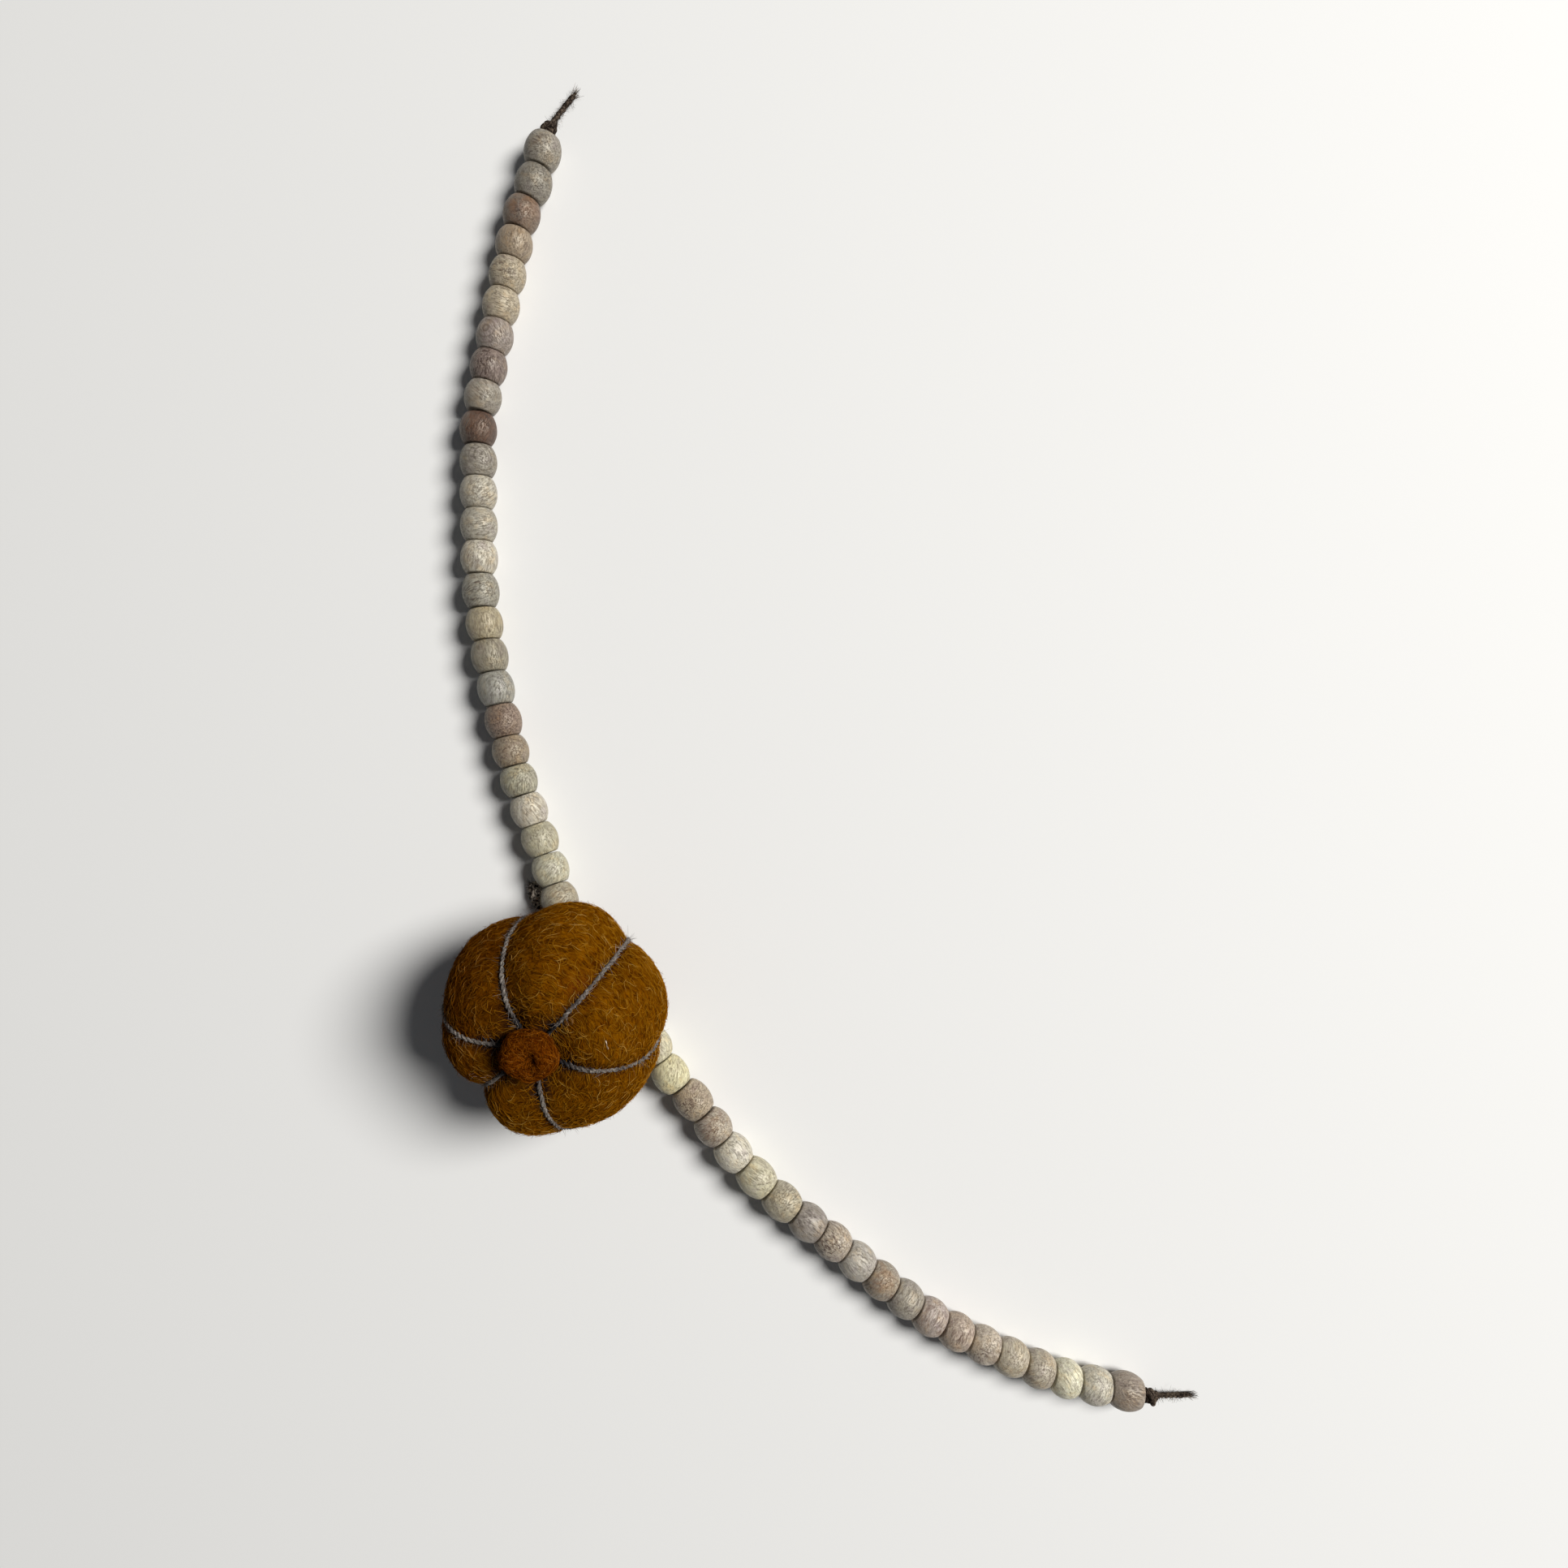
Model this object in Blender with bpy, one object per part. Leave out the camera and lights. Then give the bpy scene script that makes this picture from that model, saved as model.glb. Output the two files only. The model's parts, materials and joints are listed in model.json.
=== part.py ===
# Felt pumpkin garland: wooden barrel beads and one felted wool pumpkin strung on twine.
# The garland lies flat on the surface z = 0, as seen from above, with +Y up the picture.
# The origin is the middle of the small flat spot that the pumpkin rests on.
# Every size below is in millimetres. MM turns it into Blender's metres.

import math

import bmesh
import bpy
from mathutils import Matrix, Vector

MM = 0.001
GAP = 0.3
CURVE_STEPS = 24

# Wooden barrel beads. Twelve flats round the body, one of them down on the surface.
BEAD_SIDES = 12
BEAD_RADIUS = 5.85
BEAD_END_RADIUS = 3.9
BEAD_RIM_RADIUS = 4.5
BEAD_RIM = 0.45
BEAD_BELLY = 0.30
BEAD_BORE_RADIUS = 1.6
BEAD_REST_HEIGHT = BEAD_RADIUS * math.cos(math.pi / BEAD_SIDES)
BEAD_SMOOTH_ANGLE = math.radians(40.0)
# Share of its length, each way from its middle, over which a bead follows the route.
BEAD_REACH = 0.4

# Twine through every bead and through the pumpkin, with a knot past each end bead.
TWINE_RADIUS = 0.9
TWINE_POINT_STEP = 7.2
KNOT_RADIUS = 2.4
KNOT_HALF_LENGTH = 2.6
KNOT_CLEARANCE = 1.5
# Places of the points along a knot, as shares of its half length.
KNOT_LINES = (-1.0, -0.7, 0.0, 0.7, 1.0)
CORD_BEVEL_RESOLUTION = 2

# Route of the twine, chosen by hand: along the upper strand, through the pumpkin
# and along the lower strand. Columns: x, y, z.
UPPER_ROUTE = (
    (-7.1, 280.4, BEAD_REST_HEIGHT),
    (-9.9, 270.6, BEAD_REST_HEIGHT),
    (-13.7, 260.7, BEAD_REST_HEIGHT),
    (-18.1, 242.1, BEAD_REST_HEIGHT),
    (-22.2, 222.2, BEAD_REST_HEIGHT),
    (-26.0, 202.8, BEAD_REST_HEIGHT),
    (-27.5, 193.3, BEAD_REST_HEIGHT),
    (-27.5, 183.1, BEAD_REST_HEIGHT),
    (-27.3, 162.7, BEAD_REST_HEIGHT),
    (-26.8, 142.3, BEAD_REST_HEIGHT),
    (-24.0, 121.6, BEAD_REST_HEIGHT),
    (-19.6, 100.7, BEAD_REST_HEIGHT),
    (-14.5, 81.3, BEAD_REST_HEIGHT),
    (-7.9, 63.1, BEAD_REST_HEIGHT),
    (-4.5, 53.7, 6.1),
    (-1.5, 44.6, 7.2),
)
PUMPKIN_ROUTE = (
    (3.6, 33.6, 9.5),
    (10.0, 19.0, 10.5),
    (21.1, 8.0, 8.8),
)
LOWER_ROUTE = (
    (27.6, -1.2, 6.2),
    (33.2, -10.6, BEAD_REST_HEIGHT),
    (40.4, -18.8, BEAD_REST_HEIGHT),
    (53.1, -35.4, BEAD_REST_HEIGHT),
    (68.2, -50.5, BEAD_REST_HEIGHT),
    (84.5, -63.2, BEAD_REST_HEIGHT),
    (99.6, -75.5, BEAD_REST_HEIGHT),
    (115.2, -86.9, BEAD_REST_HEIGHT),
    (132.0, -95.7, BEAD_REST_HEIGHT),
    (157.5, -106.1, BEAD_REST_HEIGHT),
    (176.4, -110.1, BEAD_REST_HEIGHT),
)
UPPER_TAIL = (
    (-5.7, 285.4, BEAD_REST_HEIGHT),
    (-4.8, 288.3, 5.3),
    (-2.5, 294.5, 2.3),
    (1.5, 300.5, 1.2),
)
LOWER_TAIL = (
    (181.3, -111.2, BEAD_REST_HEIGHT),
    (184.2, -111.8, 5.3),
    (190.5, -113.4, 2.3),
    (197.5, -113.9, 1.2),
)

# Colours and roughness of the felt, the yarn and the twine, and of the wood.
FELT_COLOUR = (0.16, 0.055, 0.004)
YARN_COLOUR = (0.16, 0.12, 0.10)
TWINE_COLOUR = (0.10, 0.06, 0.035)
FIBRE_ROUGHNESS = 0.95
WOOD_ROUGHNESS = 0.62

# Whitewashed wood tones. Columns: red, green, blue.
WOOD_TONES = {
    "cream": (0.46, 0.40, 0.30),
    "ivory": (0.58, 0.52, 0.36),
    "beige": (0.40, 0.33, 0.24),
    "grey": (0.38, 0.35, 0.30),
    "greige": (0.34, 0.30, 0.24),
    "taupe": (0.26, 0.20, 0.16),
    "rose": (0.26, 0.18, 0.14),
    "umber": (0.17, 0.11, 0.08),
}

# Beads of each strand, from the pumpkin outwards. Columns: tone, length.
UPPER_BEADS = (
    ("beige", 9.5), ("ivory", 9.3), ("ivory", 9.5), ("cream", 9.5), ("grey", 9.1),
    ("taupe", 9.0), ("taupe", 9.9), ("grey", 10.1), ("greige", 9.8), ("cream", 9.7),
    ("grey", 10.1), ("cream", 9.8), ("cream", 9.9), ("cream", 9.7), ("greige", 9.6),
    ("umber", 9.5), ("greige", 9.3), ("taupe", 9.3), ("greige", 9.6), ("cream", 9.6),
    ("cream", 9.5), ("beige", 9.2), ("rose", 9.4), ("greige", 10.0), ("greige", 9.9),
)
LOWER_BEADS = (
    ("ivory", 9.4), ("ivory", 9.8), ("taupe", 10.5), ("rose", 9.5), ("grey", 9.7),
    ("ivory", 10.5), ("greige", 10.3), ("grey", 9.6), ("beige", 9.4), ("greige", 9.4),
    ("rose", 9.1), ("greige", 9.2), ("rose", 8.9), ("taupe", 8.8), ("beige", 9.0),
    ("cream", 9.2), ("taupe", 8.7), ("ivory", 8.3), ("grey", 9.2), ("taupe", 9.8),
)

# Felted pumpkin: a squat ball leaning towards the lower left, drawn in by six wraps.
PUMPKIN_CENTRE = (1.7, 11.7, 26.2)
PUMPKIN_AXIS = (-0.155, -0.245, 0.957)
PUMPKIN_RADIUS = 34.0
PUMPKIN_HALF_HEIGHT = 28.7
PUMPKIN_FULLNESS = 0.85
DIMPLE_DEPTH = 0.317
DIMPLE_WIDTH = 0.42
GROOVE_WIDTH = math.radians(15.0)
GROOVE_DROP = 0.8
FELT_SMOOTH_ANGLE = math.radians(50.0)
RING_COUNT = 24
POLE_LATITUDE = math.radians(86.0)
# Places across a lobe where the mesh has a line, as shares of the lobe's width.
LOBE_LINES = (0.0, 0.07, 0.16, 0.28, 0.42, 0.58, 0.72, 0.84, 0.93)

# Hole through the pumpkin for the twine.
TUNNEL_RADIUS = 1.6
TUNNEL_SIDES = 12
TUNNEL_PIECES = 12
# The hole starts and ends this far from the end faces of the beads beside it.
TUNNEL_INSET = 1.0
# Dent round the first lower bead. Columns: distance past the hole, radius.
DENT_PROFILE = ((0.4, 5.15), (1.4, 6.05), (4.0, 6.9), (10.0, 7.0))

# Wraps of wool yarn in the grooves, anticlockwise round the stem.
# Columns: angle in degrees, depth of the groove, bulge of the lobe that follows it.
WRAPS = (
    (-11.5, 0.119, 0.0),
    (48.5, 0.095, 0.06),
    (108.2, 0.090, 0.02),
    (167.5, 0.050, 0.0),
    (220.1, 0.230, 0.03),
    (283.5, 0.085, -0.035),
)
YARN_RADIUS = 0.7
YARN_LIFT_LIMIT = 3.6
YARN_POINTS = 20
YARN_STEM_CLEARANCE = 0.7
YARN_BOTTOM_RADIUS = 4.2
YARN_MARGIN = 0.1
YARN_BEVEL_RESOLUTION = 1
LATITUDE_STEP = 0.02

# Felt stem: a squat knob with five soft corners and a dent in its top, narrower along
# the second axis. Columns: radius, height.
STEM_OFFSET = (1.4, 1.5)
STEM_BASE = 22.35
STEM_SIDES = 20
STEM_PROFILE = (
    (4.0, -0.6), (7.4, 0.5), (8.1, 2.2), (7.7, 4.0), (6.5, 5.6),
    (4.8, 6.3), (2.8, 5.9), (1.2, 5.3),
)
STEM_OVAL = 0.88
STEM_LUMP_COUNT = 5.0
STEM_LUMP_SHARE = 0.04
STEM_LUMP_TURN = 2.7

# Knot of the tie beside the beads, lying on the surface. Columns: x, y, z, radius.
TIE_KNOT = (
    (1.6, 35.4, 7.6, 0.8),
    (-2.2, 34.6, 5.6, 0.8),
    (-6.0, 38.2, 3.6, 0.9),
    (-8.4, 41.6, 2.6, 1.3),
    (-9.6, 43.6, 2.4, 2.1),
    (-10.4, 46.0, 2.4, 2.3),
    (-10.6, 48.4, 2.4, 2.0),
    (-10.5, 50.2, 2.2, 1.1),
)


def clear_scene():
    for item in list(bpy.data.objects):
        bpy.data.objects.remove(item, do_unlink=True)


def make_material(name, colour, roughness):
    material = bpy.data.materials.new(name)
    material.use_nodes = True
    shader = material.node_tree.nodes["Principled BSDF"]
    shader.inputs["Base Color"].default_value = (*colour, 1.0)
    shader.inputs["Roughness"].default_value = roughness
    shader.inputs["Metallic"].default_value = 0.0
    return material


def link_mesh(name, bm, material, smooth_angle):
    bmesh.ops.recalc_face_normals(bm, faces=bm.faces)
    mesh = bpy.data.meshes.new(name)
    bm.to_mesh(mesh)
    bm.free()
    mesh.materials.append(material)
    mesh.shade_smooth()
    mesh.set_sharp_from_angle(angle=smooth_angle)
    item = bpy.data.objects.new(name, mesh)
    bpy.context.scene.collection.objects.link(item)
    return item


def curve_through(points):
    """Smooth curve through the points, as close small steps (centripetal)."""
    knots = [Vector(point) for point in points]
    first = knots[0] * 2.0 - knots[1]
    last = knots[-1] * 2.0 - knots[-2]
    knots = [first] + knots + [last]
    path = []
    for index in range(1, len(knots) - 2):
        p0, p1, p2, p3 = knots[index - 1:index + 3]
        t1 = math.sqrt((p1 - p0).length)
        t2 = t1 + math.sqrt((p2 - p1).length)
        t3 = t2 + math.sqrt((p3 - p2).length)
        for step in range(CURVE_STEPS):
            t = t1 + (t2 - t1) * step / CURVE_STEPS
            a1 = p0.lerp(p1, t / t1)
            a2 = p1.lerp(p2, (t - t1) / (t2 - t1))
            a3 = p2.lerp(p3, (t - t2) / (t3 - t2))
            b1 = a1.lerp(a2, t / t2)
            b2 = a2.lerp(a3, (t - t1) / (t3 - t1))
            point = b1.lerp(b2, (t - t1) / (t2 - t1))
            point.z = min(max(point.z, min(p1.z, p2.z)), max(p1.z, p2.z))
            path.append(point)
    path.append(knots[-2])
    return path


class Route:
    """A path that is read by the distance along it."""

    def __init__(self, path):
        self.path = path
        self.reach = [0.0]
        for before, after in zip(path, path[1:]):
            self.reach.append(self.reach[-1] + (after - before).length)
        self.length = self.reach[-1]

    def place(self, distance):
        distance = min(max(distance, 0.0), self.length)
        low = 0
        high = len(self.reach) - 1
        while high - low > 1:
            middle = (low + high) // 2
            if self.reach[middle] > distance:
                high = middle
            else:
                low = middle
        share = (distance - self.reach[low]) / (self.reach[high] - self.reach[low])
        return self.path[low].lerp(self.path[high], share)

    def nearest(self, point):
        target = Vector(point)
        index = min(range(len(self.path)), key=lambda i: (self.path[i] - target).length)
        return self.reach[index]


def bead_profile(length):
    """Closed outline of a bead's wall: along x, and its radius."""
    half = length / 2.0
    outer = (
        (-half, BEAD_END_RADIUS),
        (-half + BEAD_RIM, BEAD_RIM_RADIUS),
        (-half * BEAD_BELLY, BEAD_RADIUS),
        (half * BEAD_BELLY, BEAD_RADIUS),
        (half - BEAD_RIM, BEAD_RIM_RADIUS),
        (half, BEAD_END_RADIUS),
    )
    bore = ((half, BEAD_BORE_RADIUS), (-half, BEAD_BORE_RADIUS))
    return outer + bore


def bead_mesh(length):
    bm = bmesh.new()
    turn = math.pi / BEAD_SIDES
    start = []
    for along, radius in bead_profile(length):
        start.append(bm.verts.new((along, radius * math.sin(turn), -radius * math.cos(turn))))
    ring = [bm.edges.new((a, b)) for a, b in zip(start, start[1:] + start[:1])]
    bmesh.ops.spin(bm, geom=start + ring, cent=(0, 0, 0), axis=(1, 0, 0), dvec=(0, 0, 0),
                   angle=2.0 * math.pi, steps=BEAD_SIDES, use_merge=True)
    bmesh.ops.scale(bm, vec=(MM, MM, MM), verts=bm.verts)
    return bm


def bead_rest(length, along):
    """Height of a bead's middle that leaves its belly just on the surface."""
    level = math.hypot(along.x, along.y)
    return BEAD_REST_HEIGHT * level + length / 2.0 * BEAD_BELLY * abs(along.z)


def heading(route, distance, length):
    """Direction of a bead whose middle is at this distance."""
    reach = length * BEAD_REACH
    return (route.place(distance + reach) - route.place(distance - reach)).normalized()


def string_beads(strand, beads, route, start, direction, materials):
    """Beads in order along the route, each as near the last as the bend lets it be."""
    distance = start
    before = None
    for number, (tone, length) in enumerate(beads, 1):
        distance += direction * length / 2.0
        if before is not None:
            bend = heading(route, distance, length).angle(before)
            distance += direction * (GAP + BEAD_RIM_RADIUS * bend)
        along = heading(route, distance, length)
        centre = route.place(distance)
        centre.z = max(centre.z, bead_rest(length, along))
        side = Vector((0, 0, 1)).cross(along).normalized()
        up = along.cross(side)
        name = f"bead_{strand}_{number:02d}"
        bead = link_mesh(name, bead_mesh(length), materials[tone], BEAD_SMOOTH_ANGLE)
        turn = Matrix((along, side, up)).transposed().to_4x4()
        bead.matrix_world = Matrix.Translation(centre * MM) @ turn
        distance += direction * length / 2.0
        before = along
    return distance


def pumpkin_axes():
    axis = Vector(PUMPKIN_AXIS).normalized()
    first = (Vector((1, 0, 0)) - axis * axis.x).normalized()
    return axis, first, axis.cross(first)


def angle_between(a, b):
    return (a - b + math.pi) % (2.0 * math.pi) - math.pi


def drawn_in(angle):
    """Share of the full width that the felt keeps at this angle round the stem."""
    share = 1.0
    for number, (degrees, depth, bulge) in enumerate(WRAPS):
        start = math.radians(degrees)
        share -= depth * math.exp(-abs(angle_between(angle, start)) / GROOVE_WIDTH)
        span = math.radians((WRAPS[(number + 1) % len(WRAPS)][0] - degrees) % 360.0)
        across = ((angle - start) % (2.0 * math.pi)) / span
        if across < 1.0:
            share += bulge * math.sin(math.pi * across) ** 2
    return share


def pumpkin_section(latitude):
    """Radius and height of the full shape at a latitude."""
    radius = PUMPKIN_RADIUS * math.cos(latitude) ** PUMPKIN_FULLNESS
    dimple = DIMPLE_DEPTH * math.exp(-(math.cos(latitude) / DIMPLE_WIDTH) ** 2)
    return radius, PUMPKIN_HALF_HEIGHT * math.sin(latitude) * (1.0 - dimple)


def pumpkin_point(latitude, angle, axes):
    axis, first, second = axes
    radius, height = pumpkin_section(latitude)
    share = drawn_in(angle)
    radius *= share
    height *= 1.0 - (1.0 - share) * GROOVE_DROP
    outwards = first * math.cos(angle) + second * math.sin(angle)
    return Vector(PUMPKIN_CENTRE) + outwards * radius + axis * height


def make_pumpkin(tunnel, material):
    axes = pumpkin_axes()
    angles = []
    for number, (degrees, _, _) in enumerate(WRAPS):
        span = (WRAPS[(number + 1) % len(WRAPS)][0] - degrees) % 360.0
        angles += [math.radians(degrees + span * line) for line in LOBE_LINES]
    bm = bmesh.new()
    rings = []
    for row in range(RING_COUNT):
        latitude = POLE_LATITUDE * (2.0 * row / (RING_COUNT - 1) - 1.0)
        points = [pumpkin_point(latitude, angle, axes) * MM for angle in angles]
        rings.append([bm.verts.new(point) for point in points])
    for lower, upper in zip(rings, rings[1:]):
        for i in range(len(angles)):
            j = (i + 1) % len(angles)
            bm.faces.new((lower[i], lower[j], upper[j], upper[i]))
    bm.faces.new(list(reversed(rings[0])))
    bm.faces.new(rings[-1])
    bmesh.ops.recalc_face_normals(bm, faces=bm.faces)
    cut = bmesh.ops.bisect_plane(bm, geom=bm.verts[:] + bm.edges[:] + bm.faces[:],
                                 plane_co=(0, 0, 0), plane_no=(0, 0, 1), clear_inner=True)
    rim = [edge for edge in cut["geom_cut"] if isinstance(edge, bmesh.types.BMEdge)]
    bmesh.ops.edgenet_fill(bm, edges=rim)
    pumpkin = link_mesh("pumpkin", bm, material, FELT_SMOOTH_ANGLE)
    boolean = pumpkin.modifiers.new("twine_hole", "BOOLEAN")
    boolean.operation = "DIFFERENCE"
    boolean.solver = "EXACT"
    boolean.object = tunnel
    return pumpkin


def tube_mesh(points, radii):
    """Closed tube along the points, for the hole's cutter."""
    bm = bmesh.new()
    rings = []
    for number, (point, radius) in enumerate(zip(points, radii)):
        before = points[max(number - 1, 0)]
        after = points[min(number + 1, len(points) - 1)]
        along = (after - before).normalized()
        side = along.cross(Vector((0, 0, 1))).normalized()
        up = side.cross(along)
        ring = []
        for corner in range(TUNNEL_SIDES):
            turn = 2.0 * math.pi * corner / TUNNEL_SIDES
            offset = side * math.cos(turn) + up * math.sin(turn)
            ring.append(bm.verts.new((point + offset * radius) * MM))
        rings.append(ring)
    for lower, upper in zip(rings, rings[1:]):
        for i in range(TUNNEL_SIDES):
            j = (i + 1) % TUNNEL_SIDES
            bm.faces.new((lower[i], lower[j], upper[j], upper[i]))
    bm.faces.new(list(reversed(rings[0])))
    bm.faces.new(rings[-1])
    return bm


def make_tunnel(route, start, end, material):
    """Cutter for the twine's hole, with a dent at its lower mouth where a bead presses in."""
    span = end - start
    points = [route.place(start + span * i / TUNNEL_PIECES) for i in range(TUNNEL_PIECES + 1)]
    radii = [TUNNEL_RADIUS] * len(points)
    for offset, radius in DENT_PROFILE:
        points.append(route.place(end + offset))
        radii.append(radius)
    cutter = link_mesh("twine_hole_cutter", tube_mesh(points, radii), material, FELT_SMOOTH_ANGLE)
    cutter.hide_render = True
    cutter.display_type = "WIRE"
    return cutter


def round_cord(name, points, radii, bevel_resolution, material):
    """Tube along the points. Each radius is in millimetres."""
    curve = bpy.data.curves.new(name, "CURVE")
    curve.dimensions = "3D"
    curve.bevel_depth = MM
    curve.bevel_resolution = bevel_resolution
    curve.use_fill_caps = True
    spline = curve.splines.new("POLY")
    spline.points.add(len(points) - 1)
    for number, (point, radius) in enumerate(zip(points, radii)):
        spline.points[number].co = (*(point * MM), 1.0)
        spline.points[number].radius = radius
    curve.materials.append(material)
    item = bpy.data.objects.new(name, curve)
    bpy.context.scene.collection.objects.link(item)
    return item


def latitude_at(radius, share):
    """Latitude where a groove that keeps this share of the width has the radius."""
    return math.acos((radius / share / PUMPKIN_RADIUS) ** (1.0 / PUMPKIN_FULLNESS))


def groove_lift(latitude, share):
    """Height of the yarn's middle over the bottom of a groove, where it meets both walls."""
    radius, height = pumpkin_section(latitude)
    depth = (1.0 - share) * math.hypot(radius, height * GROOVE_DROP)
    half_width = GROOVE_WIDTH * radius * share
    lift = (YARN_RADIUS + GAP) * math.hypot(depth, half_width) / half_width
    return min(lift + YARN_MARGIN, YARN_LIFT_LIMIT)


def make_wraps(material):
    """Yarn in each groove, from the stem's edge round to the middle of the underside."""
    axes = pumpkin_axes()
    axis, first, second = axes
    offset = Vector((*STEM_OFFSET, 0.0))
    for number, (degrees, _, _) in enumerate(WRAPS, 1):
        angle = math.radians(degrees)
        share = drawn_in(angle)
        outwards = first * math.cos(angle) + second * math.sin(angle)
        across = second * math.cos(angle) - first * math.sin(angle)
        stem_radius = STEM_PROFILE[2][0] / math.hypot(math.cos(angle), math.sin(angle) / STEM_OVAL)
        stem_edge = stem_radius + offset.dot(outwards) + YARN_STEM_CLEARANCE
        top = latitude_at(stem_edge, share)
        low = -latitude_at(YARN_BOTTOM_RADIUS, share)
        points = []
        for step in range(YARN_POINTS):
            latitude = top + (low - top) * step / (YARN_POINTS - 1)
            here = pumpkin_point(latitude, angle, axes)
            near = pumpkin_point(latitude + LATITUDE_STEP, angle, axes)
            away = across.cross(near - here).normalized()
            point = here + away * groove_lift(latitude, share)
            point.z = max(point.z, YARN_RADIUS + YARN_MARGIN)
            points.append(point)
        radii = [YARN_RADIUS] * YARN_POINTS
        round_cord(f"yarn_wrap_{number}", points, radii, YARN_BEVEL_RESOLUTION, material)


def make_stem(material):
    axis, first, second = pumpkin_axes()
    foot = Vector(PUMPKIN_CENTRE) + axis * STEM_BASE + Vector((*STEM_OFFSET, 0.0))
    bm = bmesh.new()
    rings = []
    for radius, height in STEM_PROFILE:
        ring = []
        for side in range(STEM_SIDES):
            turn = 2.0 * math.pi * side / STEM_SIDES
            lump = 1.0 + STEM_LUMP_SHARE * math.sin(STEM_LUMP_COUNT * turn + STEM_LUMP_TURN)
            outwards = first * math.cos(turn) + second * math.sin(turn) * STEM_OVAL
            ring.append(bm.verts.new((foot + outwards * radius * lump + axis * height) * MM))
        rings.append(ring)
    for lower, upper in zip(rings, rings[1:]):
        for i in range(STEM_SIDES):
            j = (i + 1) % STEM_SIDES
            bm.faces.new((lower[i], lower[j], upper[j], upper[i]))
    bm.faces.new(list(reversed(rings[0])))
    bm.faces.new(rings[-1])
    return link_mesh("stem", bm, material, FELT_SMOOTH_ANGLE)


def knot_swell(offset):
    """Radius of the twine at a distance from a knot's middle."""
    if abs(offset) >= KNOT_HALF_LENGTH:
        return TWINE_RADIUS
    bump = math.sqrt(1.0 - (offset / KNOT_HALF_LENGTH) ** 2)
    return TWINE_RADIUS + (KNOT_RADIUS - TWINE_RADIUS) * bump


def make_twine(route, knots, material):
    """Points every few diameters, and closer ones round each knot."""
    count = round(route.length / TWINE_POINT_STEP)
    stations = [route.length * i / count for i in range(count + 1)]
    clear = KNOT_HALF_LENGTH + KNOT_CLEARANCE
    stations = [s for s in stations if all(abs(s - knot) > clear for knot in knots)]
    for knot in knots:
        stations += [knot + KNOT_HALF_LENGTH * line for line in KNOT_LINES]
    stations.sort()
    radii = []
    for station in stations:
        nearest = min(knots, key=lambda knot: abs(station - knot))
        radii.append(knot_swell(station - nearest))
    points = [route.place(station) for station in stations]
    return round_cord("twine", points, radii, CORD_BEVEL_RESOLUTION, material)


def main():
    clear_scene()
    wood = {}
    for tone, colour in WOOD_TONES.items():
        wood[tone] = make_material(f"wood_{tone}", colour, WOOD_ROUGHNESS)
    felt = make_material("felt_ochre", FELT_COLOUR, FIBRE_ROUGHNESS)
    yarn = make_material("yarn_grey", YARN_COLOUR, FIBRE_ROUGHNESS)
    twine = make_material("twine_brown", TWINE_COLOUR, FIBRE_ROUGHNESS)

    controls = tuple(reversed(UPPER_TAIL)) + UPPER_ROUTE + PUMPKIN_ROUTE + LOWER_ROUTE + LOWER_TAIL
    route = Route(curve_through(controls))
    upper_start = route.nearest(UPPER_ROUTE[-1]) + UPPER_BEADS[0][1] / 2.0
    lower_start = route.nearest(LOWER_ROUTE[0]) - LOWER_BEADS[0][1] / 2.0
    upper_end = string_beads("upper", UPPER_BEADS, route, upper_start, -1.0, wood)
    lower_end = string_beads("lower", LOWER_BEADS, route, lower_start, 1.0, wood)

    tunnel = make_tunnel(route, upper_start + TUNNEL_INSET, lower_start - TUNNEL_INSET, felt)
    make_pumpkin(tunnel, felt)
    make_wraps(yarn)
    make_stem(felt)
    knots = (upper_end - KNOT_HALF_LENGTH, lower_end + KNOT_HALF_LENGTH)
    make_twine(route, knots, twine)
    tie_points = [Vector((x, y, z)) for x, y, z, _ in TIE_KNOT]
    tie_radii = [radius for _, _, _, radius in TIE_KNOT]
    round_cord("tie_knot", tie_points, tie_radii, CORD_BEVEL_RESOLUTION, twine)


main()
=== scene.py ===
import json
import math

import bmesh
import bpy
import numpy as np
from mathutils import Matrix, Vector
from mathutils.bvhtree import BVHTree


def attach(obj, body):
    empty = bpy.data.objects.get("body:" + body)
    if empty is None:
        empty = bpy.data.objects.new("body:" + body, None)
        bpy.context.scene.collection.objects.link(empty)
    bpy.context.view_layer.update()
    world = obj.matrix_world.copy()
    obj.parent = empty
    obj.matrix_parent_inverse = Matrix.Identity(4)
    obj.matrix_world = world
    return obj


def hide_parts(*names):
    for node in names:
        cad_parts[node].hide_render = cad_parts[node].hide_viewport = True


# felt pumpkin garland, laid flat and seen from above
# sizes are in millimetres, and mm makes them Blender's metres

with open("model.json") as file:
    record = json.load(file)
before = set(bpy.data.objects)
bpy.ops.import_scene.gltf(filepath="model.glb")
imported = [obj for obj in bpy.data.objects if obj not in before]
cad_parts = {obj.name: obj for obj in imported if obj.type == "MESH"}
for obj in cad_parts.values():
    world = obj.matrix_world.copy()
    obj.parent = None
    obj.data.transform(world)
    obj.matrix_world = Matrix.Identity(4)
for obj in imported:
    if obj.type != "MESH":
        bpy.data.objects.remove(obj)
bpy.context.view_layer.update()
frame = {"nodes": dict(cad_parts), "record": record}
mm = 0.001
fullTurn = 2 * math.pi
upwards = np.array((0.0, 0.0, 1.0))


# camera, floor and light

shot = {
    "place": (68.7, 81.0, 334.0),
    "lens": 23.94,
    "sensor": 36.0,
    "clip": (0.01, 20.0),  # metres
}

stageLook = {
    "floorLevel": -0.15,
    "floorSize": 6000.0,
    "floorColour": (0.84, 0.84, 0.835),
    "floorRoughness": 0.95,
    "worldColour": (0.90, 0.94, 1.0, 1.0),
    "worldStrength": 0.06,
}

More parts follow.
